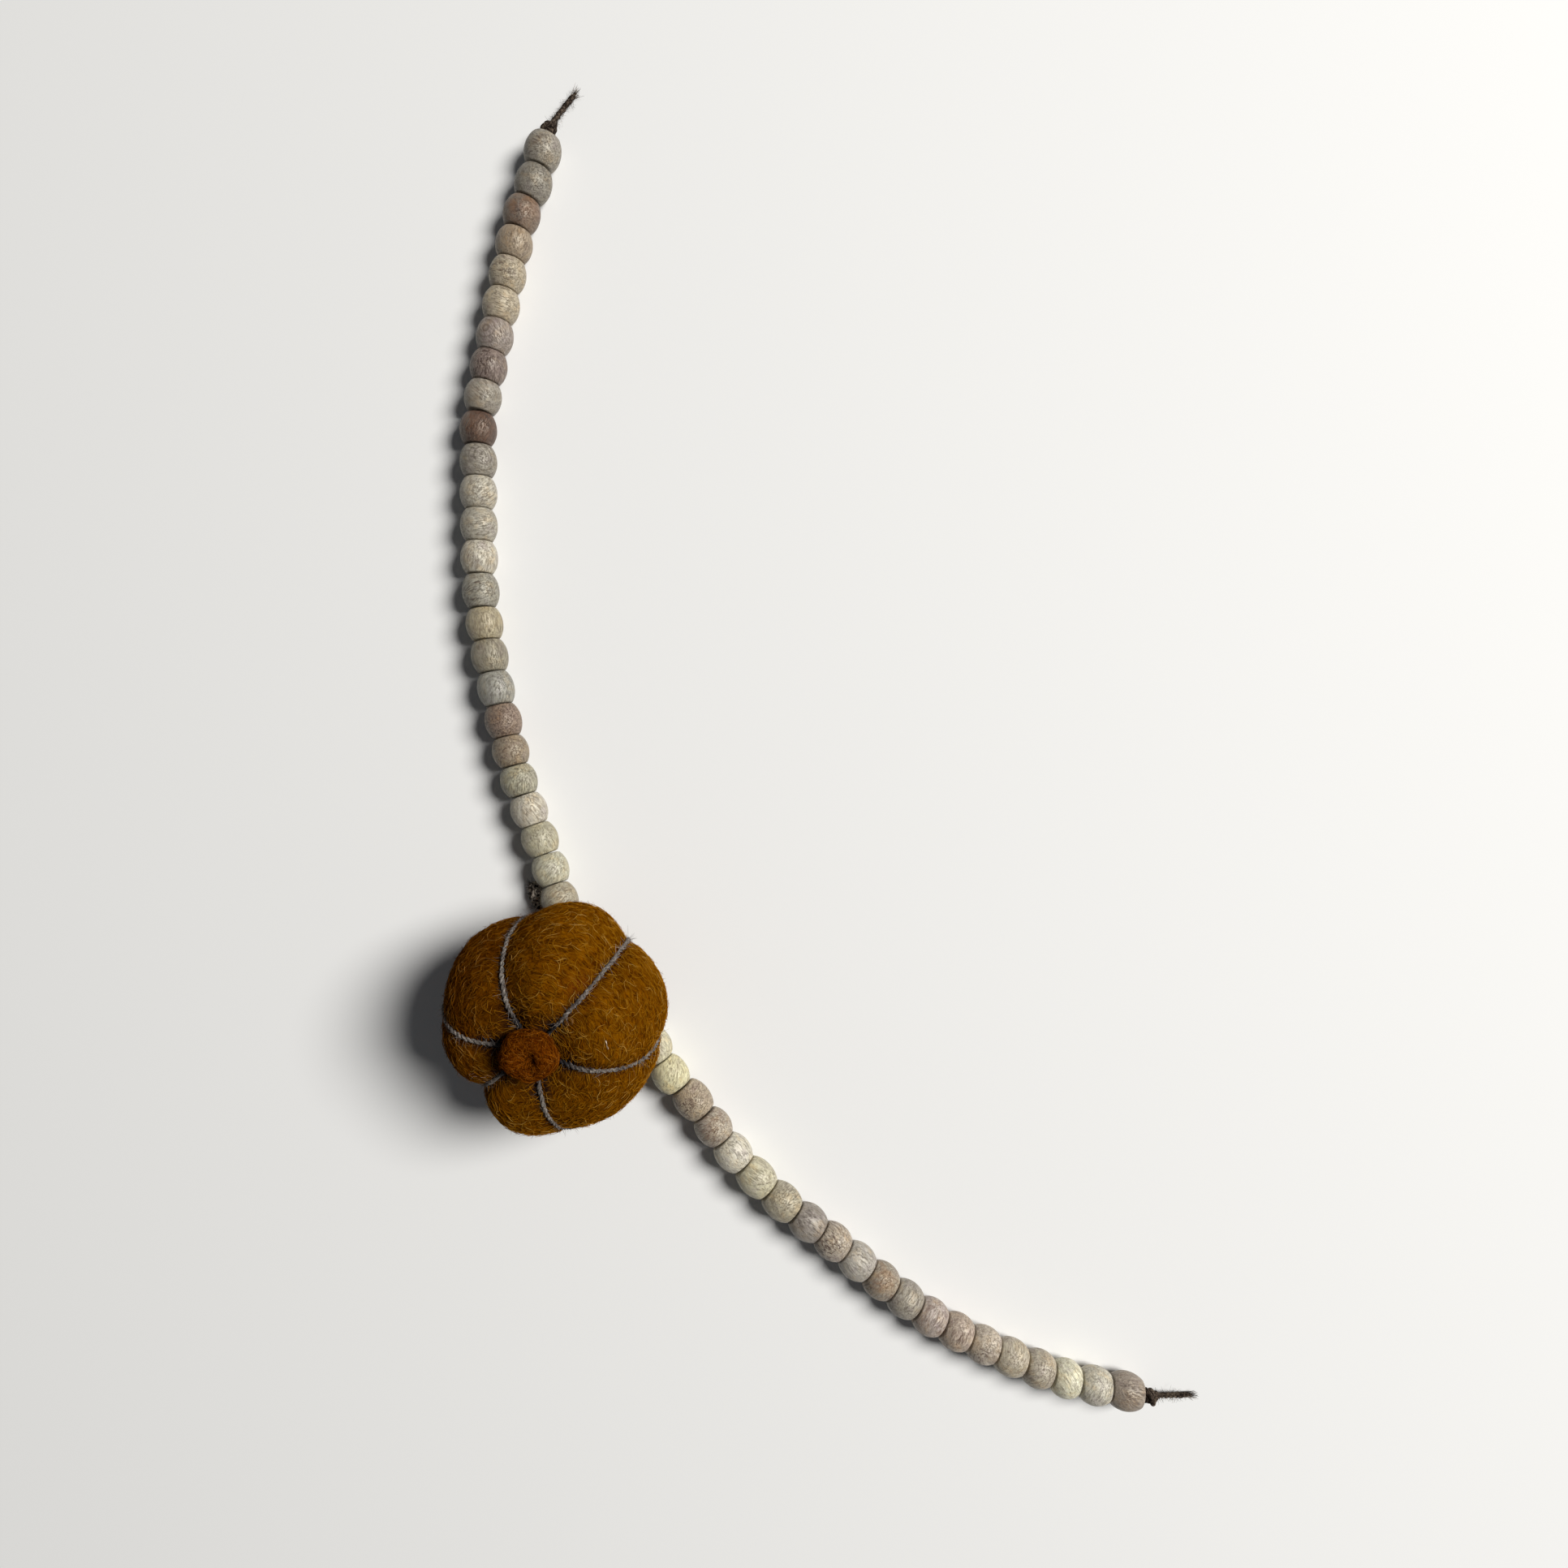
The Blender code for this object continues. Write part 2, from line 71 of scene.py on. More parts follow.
keyLamp = {
    "place": (2000, 710, 2220),
    "aim": (70, 60, 0),
    "size": 1400,
    "power": 121.0,
    "colour": (1.0, 0.985, 0.955),
}


def addObject(name, data):
    item = bpy.data.objects.new(name, data)
    bpy.context.scene.collection.objects.link(item)
    return item


def makeCamera():
    data = bpy.data.cameras.new("camera")
    data.lens = shot["lens"]
    data.sensor_width = shot["sensor"]
    data.clip_start, data.clip_end = shot["clip"]
    camera = addObject("camera", data)
    camera.location = Vector(shot["place"]) * mm
    bpy.context.scene.camera = camera


def makeLamp():
    data = bpy.data.lights.new("keyLamp", "AREA")
    data.shape = "DISK"
    data.size = keyLamp["size"] * mm
    data.energy = keyLamp["power"]
    data.color = keyLamp["colour"]
    lamp = addObject("keyLamp", data)
    place = Vector(keyLamp["place"]) * mm
    lamp.location = place
    lamp.rotation_euler = (Vector(keyLamp["aim"]) * mm - place).to_track_quat("-Z", "Y").to_euler()
    lamp.visible_camera = False


def makeStage():
    bpy.ops.object.select_all(action="DESELECT")
    place = (0, 0, stageLook["floorLevel"] * mm)
    bpy.ops.mesh.primitive_plane_add(size=stageLook["floorSize"] * mm, location=place)
    floor = bpy.context.object
    floor.name = "floor"
    material, tree = newMaterial("floorPaper")
    coat(tree, stageLook["floorColour"], stageLook["floorRoughness"], 0.5)
    floor.data.materials.append(material)
    world = bpy.data.worlds.new("softRoom")
    world.use_nodes = True
    background = world.node_tree.nodes["Background"]
    background.inputs["Color"].default_value = stageLook["worldColour"]
    background.inputs["Strength"].default_value = stageLook["worldStrength"]
    bpy.context.scene.world = world
    bpy.context.scene.view_settings.view_transform = "Standard"
    makeLamp()
    print("stage made")


# helpers for materials

def newMaterial(name):
    material = bpy.data.materials.new(name)
    material.use_nodes = True
    return material, material.node_tree


def feed(tree, socket, value):
    # another node's output is linked, and a number or colour is set on the socket itself
    if isinstance(value, bpy.types.NodeSocket):
        tree.links.new(value, socket)
    elif socket.type == "RGBA":
        socket.default_value = (*value, 1.0)
    else:
        socket.default_value = value


def addNode(tree, kind, inputs, **settings):
    node = tree.nodes.new("ShaderNode" + kind)
    for name, value in settings.items():
        setattr(node, name, value)
    for name, value in inputs.items():
        feed(tree, node.inputs[name], value)
    return node


def coat(tree, colour, roughness, gloss, relief=None, strength=0.0, depth=0.0):
    # colour, roughness, shine and relief of a surface, the depth of the relief in mm
    inputs = {"Base Color": colour, "Roughness": roughness, "Specular IOR Level": gloss}
    if relief:
        settings = {"Strength": strength, "Distance": depth * mm, "Height": relief}
        inputs["Normal"] = addNode(tree, "Bump", settings).outputs["Normal"]
    for name, value in inputs.items():
        feed(tree, tree.nodes["Principled BSDF"].inputs[name], value)


def readAttribute(tree, name, output="Fac"):
    return addNode(tree, "Attribute", {}, attribute_name=name).outputs[output]


def objectPlace(tree):
    return addNode(tree, "TexCoord", {}).outputs["Object"]


def noise(tree, place, fineness, detail, roughness, distortion, turn=0.0):
    # fineness is one number, or one for each axis
    if isinstance(fineness, tuple):
        stretch = {"Vector": place, "Scale": fineness, "Rotation": (0, 0, turn)}
        place = addNode(tree, "Mapping", stretch).outputs["Vector"]
        fineness = 1.0
    settings = {"Vector": place, "Scale": fineness, "Detail": detail, "Roughness": roughness}
    return addNode(tree, "TexNoise", {**settings, "Distortion": distortion}).outputs["Fac"]


def ramp(tree, value, stops):
    node = addNode(tree, "ValToRGB", {"Fac": value})
    band = node.color_ramp
    while len(band.elements) < len(stops):
        band.elements.new(0.5)
    for element, (position, colour) in zip(band.elements, stops):
        element.position = position
        element.color = (*colour, 1.0)
    return node.outputs["Color"]


def fade(tree, value, low, high, start=0.0, end=1.0):
    # start where value is low, end where it is high
    inputs = {"Value": value, "From Min": low, "From Max": high, "To Min": start, "To Max": end}
    return addNode(tree, "MapRange", inputs).outputs["Result"]


def sums(tree, kind, a, b):
    return addNode(tree, "Math", {0: a, 1: b}, operation=kind).outputs["Value"]


def times(tree, a, b):
    return sums(tree, "MULTIPLY", a, b)


def mixed(tree, share, a, b, kind="MIX"):
    # 6 and 7 are the colour sockets of a Mix node, and 2 is its colour output
    node = addNode(tree, "Mix", {0: share, 6: a, 7: b}, data_type="RGBA", blend_type=kind)
    return node.outputs[2]


# helpers for meshes

def unit(vectors):
    return vectors / np.maximum(np.linalg.norm(vectors, axis=-1, keepdims=True), 1e-9)


def bell(distance):
    # 1 at no distance, soft and close to 0 at twice the width that distance is measured in
    return np.exp(-distance ** 2)


def meshOf(name, points, triangles, material):
    mesh = bpy.data.meshes.new(name)
    mesh.vertices.add(len(points))
    mesh.vertices.foreach_set("co", (points * mm).astype(np.float32).ravel())
    mesh.loops.add(triangles.size)
    mesh.loops.foreach_set("vertex_index", triangles.astype(np.int32).ravel())
    mesh.polygons.add(len(triangles))
    mesh.polygons.foreach_set("loop_start", np.arange(0, triangles.size, 3, dtype=np.int32))
    mesh.update(calc_edges=True)
    mesh.polygons.foreach_set("use_smooth", np.full(len(triangles), True))
    mesh.validate()
    mesh.materials.append(material)
    return addObject(name, mesh)


def setAttributes(piece, **named):
    # each has one number or one vector for every vertex
    for name, values in named.items():
        values = np.asarray(values, np.float32)
        kind, field = ("FLOAT", "value") if values.ndim == 1 else ("FLOAT_VECTOR", "vector")
        attribute = piece.data.attributes.new(name, kind, "POINT")
        attribute.data.foreach_set(field, values.ravel())


def finishPiece(piece, slotName, *nodes):
    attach(piece, "root")
    if nodes:
        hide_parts(*nodes)


def skin(rows, columns):
    # triangles over rows of rings, with a fan at each end to one more point
    row = np.arange(rows - 1)[:, None] * columns
    ring = np.arange(columns)
    after = (ring + 1) % columns
    a, b = row + ring, row + after
    top = (rows - 1) * columns
    ends = np.full(columns, rows * columns)
    return np.concatenate([
        np.stack([a, b, b + columns], axis=-1).reshape(-1, 3),
        np.stack([a, b + columns, a + columns], axis=-1).reshape(-1, 3),
        np.stack([after, ring, ends], axis=-1),
        np.stack([top + ring, top + after, ends + 1], axis=-1),
    ])


def withPoles(values):
    # values of rows of rings, with one more for the point that closes each end
    flat = values.reshape(-1, *values.shape[2:])
    return np.concatenate([flat, values[0].mean(axis=0)[None], values[-1].mean(axis=0)[None]])


def around(side, up, turn):
    # direction that turns from side to up
    return side * np.cos(turn)[..., None] + up * np.sin(turn)[..., None]


def keepAbove(points, height):
    # nothing sinks below this height over the floor
    points[..., 2] = np.maximum(points[..., 2], height)
    return points


def carriedFrames(paths):
    # a side and an upward direction for every point, carried along without twisting
    along = unit(np.gradient(paths, axis=1))
    side = np.zeros_like(paths)
    anySide = np.array((0.31, 0.52, 0.8))
    side[:, 0] = unit(np.cross(along[:, 0], anySide))
    for step in range(1, paths.shape[1]):
        before = side[:, step - 1]
        lean = np.sum(before * along[:, step], axis=-1, keepdims=True)
        side[:, step] = unit(before - along[:, step] * lean)
    return side, np.cross(along, side)


def tubes(paths, radii, sides):
    # closed tubes: paths is tube by point by xyz, radii is tube by point
    count, steps = paths.shape[:2]
    side, up = carriedFrames(paths)
    turn = np.arange(sides) * fullTurn / sides
    rings = paths[:, :, None] + around(side[:, :, None], up[:, :, None], turn) * radii[:, :, None, None]
    body = rings.reshape(count, steps * sides, 3)
    points = np.concatenate([body, paths[:, :1], paths[:, -1:]], axis=1)
    shift = np.arange(count)[:, None, None] * points.shape[1]
    return points.reshape(-1, 3), (skin(steps, sides) + shift).reshape(-1, 3)


unevenness = {
    "waves": 14,
    "lengths": (0.7, 1.5),  # of the size asked for
    "height": 1.7,
}


def ripple(points, size, seed):
    # soft unevenness between about -1 and 1 that repeats about every size
    waves = unevenness["waves"]
    dice = np.random.default_rng(seed)
    directions = unit(dice.normal(size=(waves, 3)))
    lengths = size * dice.uniform(*unevenness["lengths"], waves)
    phases = dice.uniform(0, fullTurn, waves)
    angles = points @ directions.T * (fullTurn / lengths) + phases
    return np.sin(angles).sum(axis=-1) * (unevenness["height"] / waves)


def lumpy(points, centre, lumps, seed):
    # lumps of several sizes, pushed out from a centre
    away = unit(points - centre)
    flat = points.reshape(-1, 3)
    for size, height in lumps:
        lift = ripple(flat, size, seed).reshape(points.shape[:-1]) * height
        points = points + away * lift[..., None]
    return points


def between(p, q, t, start, end):
    return p + (q - p) * (t - start) / (end - start)


def smoothPath(points, steps, smoothness=24):
    # centripetal curve through given points, read at even distances, with its length
    knots = [np.array(p, float) for p in points]
    knots = [knots[0] * 2 - knots[1]] + knots + [knots[-1] * 2 - knots[-2]]
    path = []
    for k in range(1, len(knots) - 2):
        p0, p1, p2, p3 = knots[k - 1:k + 3]
        t1 = math.sqrt(np.linalg.norm(p1 - p0))
        t2 = t1 + math.sqrt(np.linalg.norm(p2 - p1))
        t3 = t2 + math.sqrt(np.linalg.norm(p3 - p2))
        for t in np.linspace(t1, t2, smoothness, endpoint=False):
            a1 = between(p0, p1, t, 0, t1)
            a2 = between(p1, p2, t, t1, t2)
            a3 = between(p2, p3, t, t2, t3)
            b1 = between(a1, a2, t, 0, t2)
            b2 = between(a2, a3, t, t1, t3)
            point = between(b1, b2, t, t1, t2)
            point[2] = min(max(point[2], min(p1[2], p2[2])), max(p1[2], p2[2]))
            path.append(point)
    path.append(knots[-2])
    path = np.array(path)
    reach = np.concatenate([[0], np.cumsum(np.linalg.norm(np.diff(path, axis=0), axis=1))])
    even = np.linspace(0, reach[-1], steps)
    return np.stack([np.interp(even, reach, path[:, k]) for k in range(3)], axis=-1), reach[-1]


plyUnevenness = {
    "share": 0.26,
    "short": 1.7,
    "long": 4.3,
}


def twisted(path, length, cord, seed):
    # plies laid round a path, each with a slightly uneven thickness
    u = plyUnevenness
    dice = np.random.default_rng(seed)
    side, up = carriedFrames(path[None])
    distance = np.linspace(0, length, len(path))
    strands = []
    radii = []
    for ply in range(cord["plies"]):
        turn = fullTurn * (distance / cord["pitch"] + ply / cord["plies"])
        strands.append(path + around(side[0], up[0], turn) * cord["offset"])
        waves = np.sin(distance / u["short"] + dice.uniform(0, 6)) * np.sin(distance / u["long"])
        radii.append(cord["ply"] * (1 + u["share"] * waves))
    return np.array(strands), np.array(radii)


# wooden beads: one turned barrel is modelled, and each bead is a copy at its CAD bead's place

beadMake = {
    "radius": 5.74,
    "length": 9.5,
    "stretch": 1.16,
    "sides": 40,
    "rings": 30,
    "bore": 1.5,
    "rimSoftness": 0.4,
    "boreSoftness": 0.3,
    "closer": 0.16,  # how much longer a bead is than its CAD bead
    "uneven": (9.0, 0.07),
    "grainSpread": 60.0,
    "markWidth": 4.5,
    "markShares": (0.35, 0.75),  # all over, and more on the marked side
    "patchSide": (0.0, 0.45, 1.0),
    "fleckSide": (-0.45, -0.1, 1.0),
    "heartDepth": (3.0, 9.0),
    "heartLength": 0.45,
    "heartLift": 1.2,
    "ringReach": 6.5,
    "seed": 11,
}

# each wood tone: plain colour, colour of its veins and pores
woodTones = {
    "wood_cream": ((0.40, 0.36, 0.275), (0.185, 0.145, 0.10)),
    "wood_ivory": ((0.47, 0.44, 0.31), (0.25, 0.21, 0.135)),
    "wood_beige": ((0.335, 0.28, 0.21), (0.15, 0.105, 0.07)),
    "wood_grey": ((0.335, 0.315, 0.255), (0.155, 0.135, 0.105)),
    "wood_greige": ((0.295, 0.265, 0.215), (0.13, 0.105, 0.08)),
    "wood_taupe": ((0.255, 0.21, 0.165), (0.10, 0.068, 0.052)),
    "wood_rose": ((0.255, 0.21, 0.17), (0.115, 0.066, 0.048)),
    "wood_umber": ((0.115, 0.066, 0.046), (0.040, 0.020, 0.013)),
}

# tints that a bead's wood leans towards
tints = {
    "plain": (1.0, 1.0, 1.0),
    "warm": (1.05, 1.0, 0.94),
    "yellow": (1.03, 1.03, 0.92),
    "pink": (1.02, 0.96, 1.02),
    "green": (0.96, 1.03, 1.0),
    "cool": (0.96, 0.99, 1.05),
    "amber": (1.07, 1.03, 0.88),
    "rust": (1.12, 0.98, 0.90),
}

# beads from the pumpkin outwards: shade, tint, rusty patches, dark flecks, growth rings
beadMarks = {
    # painted light: the lower strand's shades run higher, standing in for stronger light on that side, on top
    # of each bead's own tone
    "lower": (
        (1.26, "plain", 0.0, 0.3, 0.2),
        (1.37, "yellow", 0.0, 0.2, 0.2),
        (1.56, "yellow", 0.1, 1.2, 0.2),
        (1.64, "green", 0.2, 0.8, 0.2),
        (1.88, "plain", 0.0, 0.2, 0.2),
        (1.13, "plain", 0.0, 0.2, 0.2),
        (1.38, "yellow", 0.0, 0.3, 0.5),
        (0.94, "pink", 0.0, 0.7, 0.5),
        (1.38, "cool", 0.0, 1.4, 0.2),
        (1.52, "cool", 0.0, 0.1, 0.1),
        (1.34, "green", 0.6, 0.6, 0.3),
        (1.16, "plain", 0.0, 0.3, 0.2),
        (1.72, "cool", 0.0, 0.3, 0.2),
        (1.77, "plain", 0.1, 0.8, 0.3),
        (1.49, "cool", 0.0, 0.7, 0.2),
        (1.26, "plain", 0.1, 0.3, 0.3),
        (1.83, "green", 0.0, 0.3, 0.3),
        (1.57, "cool", 0.0, 0.2, 0.3),
        (1.71, "plain", 0.0, 0.2, 0.3),
        (1.26, "plain", 0.0, 0.4, 0.2),
    ),
    "upper": (
        (1.20, "green", 0.0, 0.3, 0.2),
        (1.12, "cool", 0.0, 0.2, 0.2),
        (0.95, "plain", 0.0, 0.3, 0.3),
        (1.38, "cool", 0.0, 0.3, 0.4),
        (1.04, "yellow", 0.0, 0.5, 0.2),
        (1.10, "yellow", 0.2, 0.8, 0.2),
        (0.84, "rust", 0.1, 1.2, 0.1),
        (0.98, "cool", 0.0, 0.3, 0.4),
        (0.93, "yellow", 0.1, 0.5, 0.3),
        (0.89, "amber", 0.1, 0.3, 0.2),
        (0.95, "plain", 0.0, 1.0, 0.2),
        (1.38, "cool", 0.0, 0.7, 0.4),
        (1.01, "cool", 0.0, 0.15, 0.3),
        (1.14, "cool", 0.0, 0.1, 0.8),
        (0.95, "plain", 0.0, 0.2, 1.3),
        (0.65, "rust", 0.5, 1.2, 0.2),
        (1.02, "plain", 0.2, 0.3, 0.2),
        (0.89, "pink", 0.1, 1.5, 0.1),
        (1.04, "pink", 0.1, 0.4, 1.4),
        (1.05, "warm", 0.0, 0.6, 0.3),
        (1.03, "warm", 0.0, 0.7, 0.2),
        (0.90, "warm", 0.2, 0.2, 0.3),
        (0.75, "warm", 1.2, 0.8, 0.2),
        (0.78, "plain", 0.0, 0.4, 0.1),
        (1.01, "plain", 0.0, 0.6, 0.4),
    ),
}

# beads whose growth rings show, each with the side that their middle lies on
ringHearts = {
    "bead_upper_14": (0.1, -0.1, 1.0),
    "bead_upper_15": (0.6, 0.1, 1.0),
    "bead_upper_19": (-0.25, 0.1, 1.0),
}

woodLook = {
    # each noise: fineness, detail, roughness and distortion, and between what it fades in
    "layers": {
        "wash": ((0.85, 7.0, 0.72, 0.6), (0.49, 0.60)),
        "veins": (((0.75, 0.75, 0.16), 6.0, 0.66, 1.2), (0.50, 0.62)),
        "lines": (((2.2, 2.2, 0.36), 5.0, 0.72, 0.6), (0.51, 0.62)),
        "patches": ((0.20, 3.0, 0.6, 0.9), (0.38, 0.56)),
        "clusters": (((0.26, 0.26, 0.13), 2.0, 0.5, 0.6), (0.48, 0.60)),
        "pores": (((1.15, 1.15, 0.28), 3.0, 0.62, 0.7), (0.52, 0.565)),
    },
    # how much of each layer shows where it is fully in
    "shares": {"wash": 0.8, "veins": 0.65, "lines": 0.75, "rings": 0.65, "patches": 0.7, "flecks": 0.9},
    "cloud": (0.24, 3.0, 0.55, 0.5),
    "cloudStops": (0.34, 0.50, 0.66),
    "mauve": (0.92, 0.88, 0.96),
    "warm": (1.10, 0.98, 0.84),
    "pale": (1.2, 0.03),
    "rings": {"Scale": 0.19, "Distortion": 3.4, "Detail": 3.0, "Detail Scale": 0.45},
    "ringFade": (0.35, 0.0),
    "patchColour": (0.27, 0.13, 0.055),
    "fleckColour": (0.062, 0.029, 0.019),
    "fleckSpread": (0.7, 0.25),
    "roughness": (0.38, 0.56),
    "shine": 1.0,
    "shineTint": (1.0, 0.97, 0.86),
    "relief": {"wash": 0.8, "flecks": 0.8, "strength": 0.8, "depth": 0.22},
}


def makeWood(slotName, tone, vein):
    material, tree = newMaterial(slotName + "Washed")
    look = woodLook
    grain = readAttribute(tree, "grain", "Vector")
    flecks = readAttribute(tree, "flecks")
    share = look["shares"]
    pattern = {}
    shows = {}
    for name, (settings, limits) in look["layers"].items():
        pattern[name] = noise(tree, grain, *settings)
        shows[name] = fade(tree, pattern[name], *limits)
    heart = {"Vector": readAttribute(tree, "heart", "Vector"), **look["rings"]}
    rings = addNode(tree, "TexWave", heart, wave_type="RINGS", rings_direction="SPHERICAL").outputs["Fac"]

    brighter, lift = look["pale"]
    pale = tuple(min(c * brighter + lift, 1.0) for c in tone)
    mauve = tuple(c * k for c, k in zip(tone, look["mauve"]))
    warm = tuple(c * k for c, k in zip(tone, look["warm"]))
    cloud = noise(tree, grain, *look["cloud"])
    colour = ramp(tree, cloud, tuple(zip(look["cloudStops"], (mauve, tone, warm))))
    colour = mixed(tree, times(tree, shows["wash"], share["wash"]), colour, pale)
    colour = mixed(tree, times(tree, shows["veins"], share["veins"]), colour, vein)
    lines = times(tree, shows["lines"], share["lines"])
    colour = mixed(tree, lines, colour, vein)
    ringing = times(tree, fade(tree, rings, *look["ringFade"]), readAttribute(tree, "rings"))
    colour = mixed(tree, times(tree, ringing, share["rings"]), colour, vein)
    patches = times(tree, shows["patches"], readAttribute(tree, "patches"))
    colour = mixed(tree, times(tree, patches, share["patches"]), colour, look["patchColour"])
    # a well flecked bead has its flecks all over the marked side
    steep, start = look["fleckSpread"]
    spread = sums(tree, "MAXIMUM", sums(tree, "SUBTRACT", times(tree, flecks, steep), start), 0.0)
    clustered = sums(tree, "MINIMUM", sums(tree, "ADD", shows["clusters"], spread), 1.0)
    specks = times(tree, times(tree, shows["pores"], clustered), flecks)
    colour = mixed(tree, sums(tree, "MINIMUM", specks, share["flecks"]), colour, look["fleckColour"])
    # each bead's own shade and tint, which on the lower strand also holds painted light
    colour = mixed(tree, 1.0, colour, readAttribute(tree, "shade", "Vector"), "MULTIPLY")

    roughness = fade(tree, pattern["wash"], 0.0, 1.0, *look["roughness"])
    depth = look["relief"]
    hollows = sums(tree, "ADD", lines, times(tree, specks, depth["flecks"]))
    relief = sums(tree, "SUBTRACT", times(tree, pattern["wash"], depth["wash"]), hollows)
    coat(tree, colour, roughness, look["shine"], relief, depth["strength"], depth["depth"])
    feed(tree, tree.nodes["Principled BSDF"].inputs["Specular Tint"], look["shineTint"])
    return material


def selectParts(piece, parts, wanted):
    # faces or edges of a piece in edit mode, chosen by their place
    mesh = bmesh.from_edit_mesh(piece.data)
    bpy.ops.mesh.select_all(action="DESELECT")
    for part in getattr(mesh, parts):
        if wanted(part):
            part.select_set(True)
    bmesh.update_edit_mesh(piece.data)


def modelBead():
    m = beadMake
    half = m["length"] * mm / 2
    nearEnd = half * 0.995
    bore = m["bore"] * mm
    endRadius = m["radius"] * mm * math.sqrt(1 - (m["length"] / 2 / m["stretch"] / m["radius"]) ** 2)

    def onRim(edge, radius):
        return all(abs(v.co.z) > nearEnd and abs(math.hypot(v.co.x, v.co.y) - radius) < 0.3 * mm
                   for v in edge.verts)

    bpy.ops.object.select_all(action="DESELECT")
    bpy.ops.mesh.primitive_uv_sphere_add(segments=m["sides"], ring_count=m["rings"], radius=m["radius"] * mm)
    bead = bpy.context.object
    bpy.ops.object.mode_set(mode="EDIT")
    bpy.ops.mesh.select_mode(type="FACE")
    bpy.ops.mesh.select_all(action="SELECT")
    bpy.ops.transform.resize(value=(1, 1, m["stretch"]))
    for end in (1, -1):
        bpy.ops.mesh.select_all(action="SELECT")
        plane = {"plane_co": (0, 0, end * half), "plane_no": (0, 0, end)}
        bpy.ops.mesh.bisect(**plane, use_fill=True, clear_outer=True)
    selectParts(bead, "faces", lambda face: abs(face.calc_center_median().z) > nearEnd)
    bpy.ops.mesh.inset(thickness=endRadius - bore)
    bpy.ops.mesh.bridge_edge_loops()
    bpy.ops.mesh.select_mode(type="EDGE")
    for radius, softness, segments in ((endRadius, m["rimSoftness"], 3), (bore, m["boreSoftness"], 2)):
        selectParts(bead, "edges", lambda edge: onRim(edge, radius))
        bpy.ops.mesh.bevel(offset=softness * mm, segments=segments, affect="EDGES")
    bpy.ops.mesh.select_all(action="SELECT")
    bpy.ops.mesh.normals_make_consistent(inside=False)
    bpy.ops.object.mode_set(mode="OBJECT")
    bpy.ops.object.shade_smooth_by_angle(angle=math.radians(40))
    return bead


def beadPlace(name):
    # middle, direction away from the pumpkin and length of a CAD bead, all in mm
    points = np.array([v.co for v in frame["nodes"][name].data.vertices]) / mm
    centre = points.mean(axis=0)
    directions = np.linalg.eigh(np.cov((points - centre).T))[1]
    axis = directions[:, -1]
    if axis[1 if "upper" in name else 0] < 0:
        axis = -axis
    return centre, axis, np.ptp(points @ axis)


def nearSide(points, side):
    # marks are strongest on one side of a bead and weak elsewhere
    everywhere, more = beadMake["markShares"]
    away = np.linalg.norm(points - unit(side) * beadMake["radius"], axis=1)
    return everywhere + more * bell(away / beadMake["markWidth"])


def makeBead(name, model, marks, wood, dice):
    m = beadMake
    shade, tint, patches, flecks, rings = marks
    centre, axis, length = beadPlace(name)
    local = np.array([v.co for v in model.vertices]) / mm * (1, 1, (length + m["closer"]) / m["length"])
    offset = dice.uniform(-m["grainSpread"], m["grainSpread"], 3)
    size, depth = m["uneven"]
    local[:, :2] *= (1 + ripple(local + offset, size, m["seed"]) * depth / m["radius"])[:, None]
    across = unit(np.cross(upwards, axis))
    placed = local @ np.stack([across, np.cross(axis, across), axis]) + centre
    placed[:, 2] -= min(placed[:, 2].min(), 0)
    mesh = model.copy()
    mesh.vertices.foreach_set("co", (placed * mm).astype(np.float32).ravel())
    mesh.materials.append(wood)
    mesh.update()
    bead = addObject(name.replace("bead", "barrel"), mesh)
    # each bead is cut from another place and at another slant in the wood
    turned = local @ np.array(Matrix.Rotation(dice.uniform(0, fullTurn), 3, unit(dice.normal(size=3)))).T
    heart = turned * (1, 1, m["heartLength"]) - unit(dice.normal(size=3)) * dice.uniform(*m["heartDepth"])
    fromMiddle = placed - centre
    if name in ringHearts:
        heart = fromMiddle - unit(ringHearts[name]) * (m["radius"] + m["heartLift"])
        rings = rings * bell(np.linalg.norm(heart, axis=1) / m["ringReach"])
    every = np.ones(len(placed))
    setAttributes(bead, grain=turned + offset, heart=heart, rings=every * rings,
                  shade=every[:, None] * tints[tint] * shade,
                  patches=nearSide(fromMiddle, m["patchSide"]) * patches,
                  flecks=nearSide(fromMiddle, m["fleckSide"]) * flecks)
    return bead


def makeBeads():
    dice = np.random.default_rng(beadMake["seed"])
    model = modelBead()
    slots = {row["node"]: row["material_slot"] for row in frame["record"]["subparts"]}
    woods = {slotName: makeWood(slotName, *tones) for slotName, tones in woodTones.items()}
    for strand, rows in beadMarks.items():
        for number, marks in enumerate(rows, 1):
            name = f"bead_{strand}_{number:02d}"
            bead = makeBead(name, model.data, marks, woods[slots[name]], dice)
            finishPiece(bead, slots[name], name)
        print("beads made:", strand, len(rows))
    bpy.data.objects.remove(model, do_unlink=True)


# felt pumpkin, worked out by the same formula as its CAD solid, with softer grooves

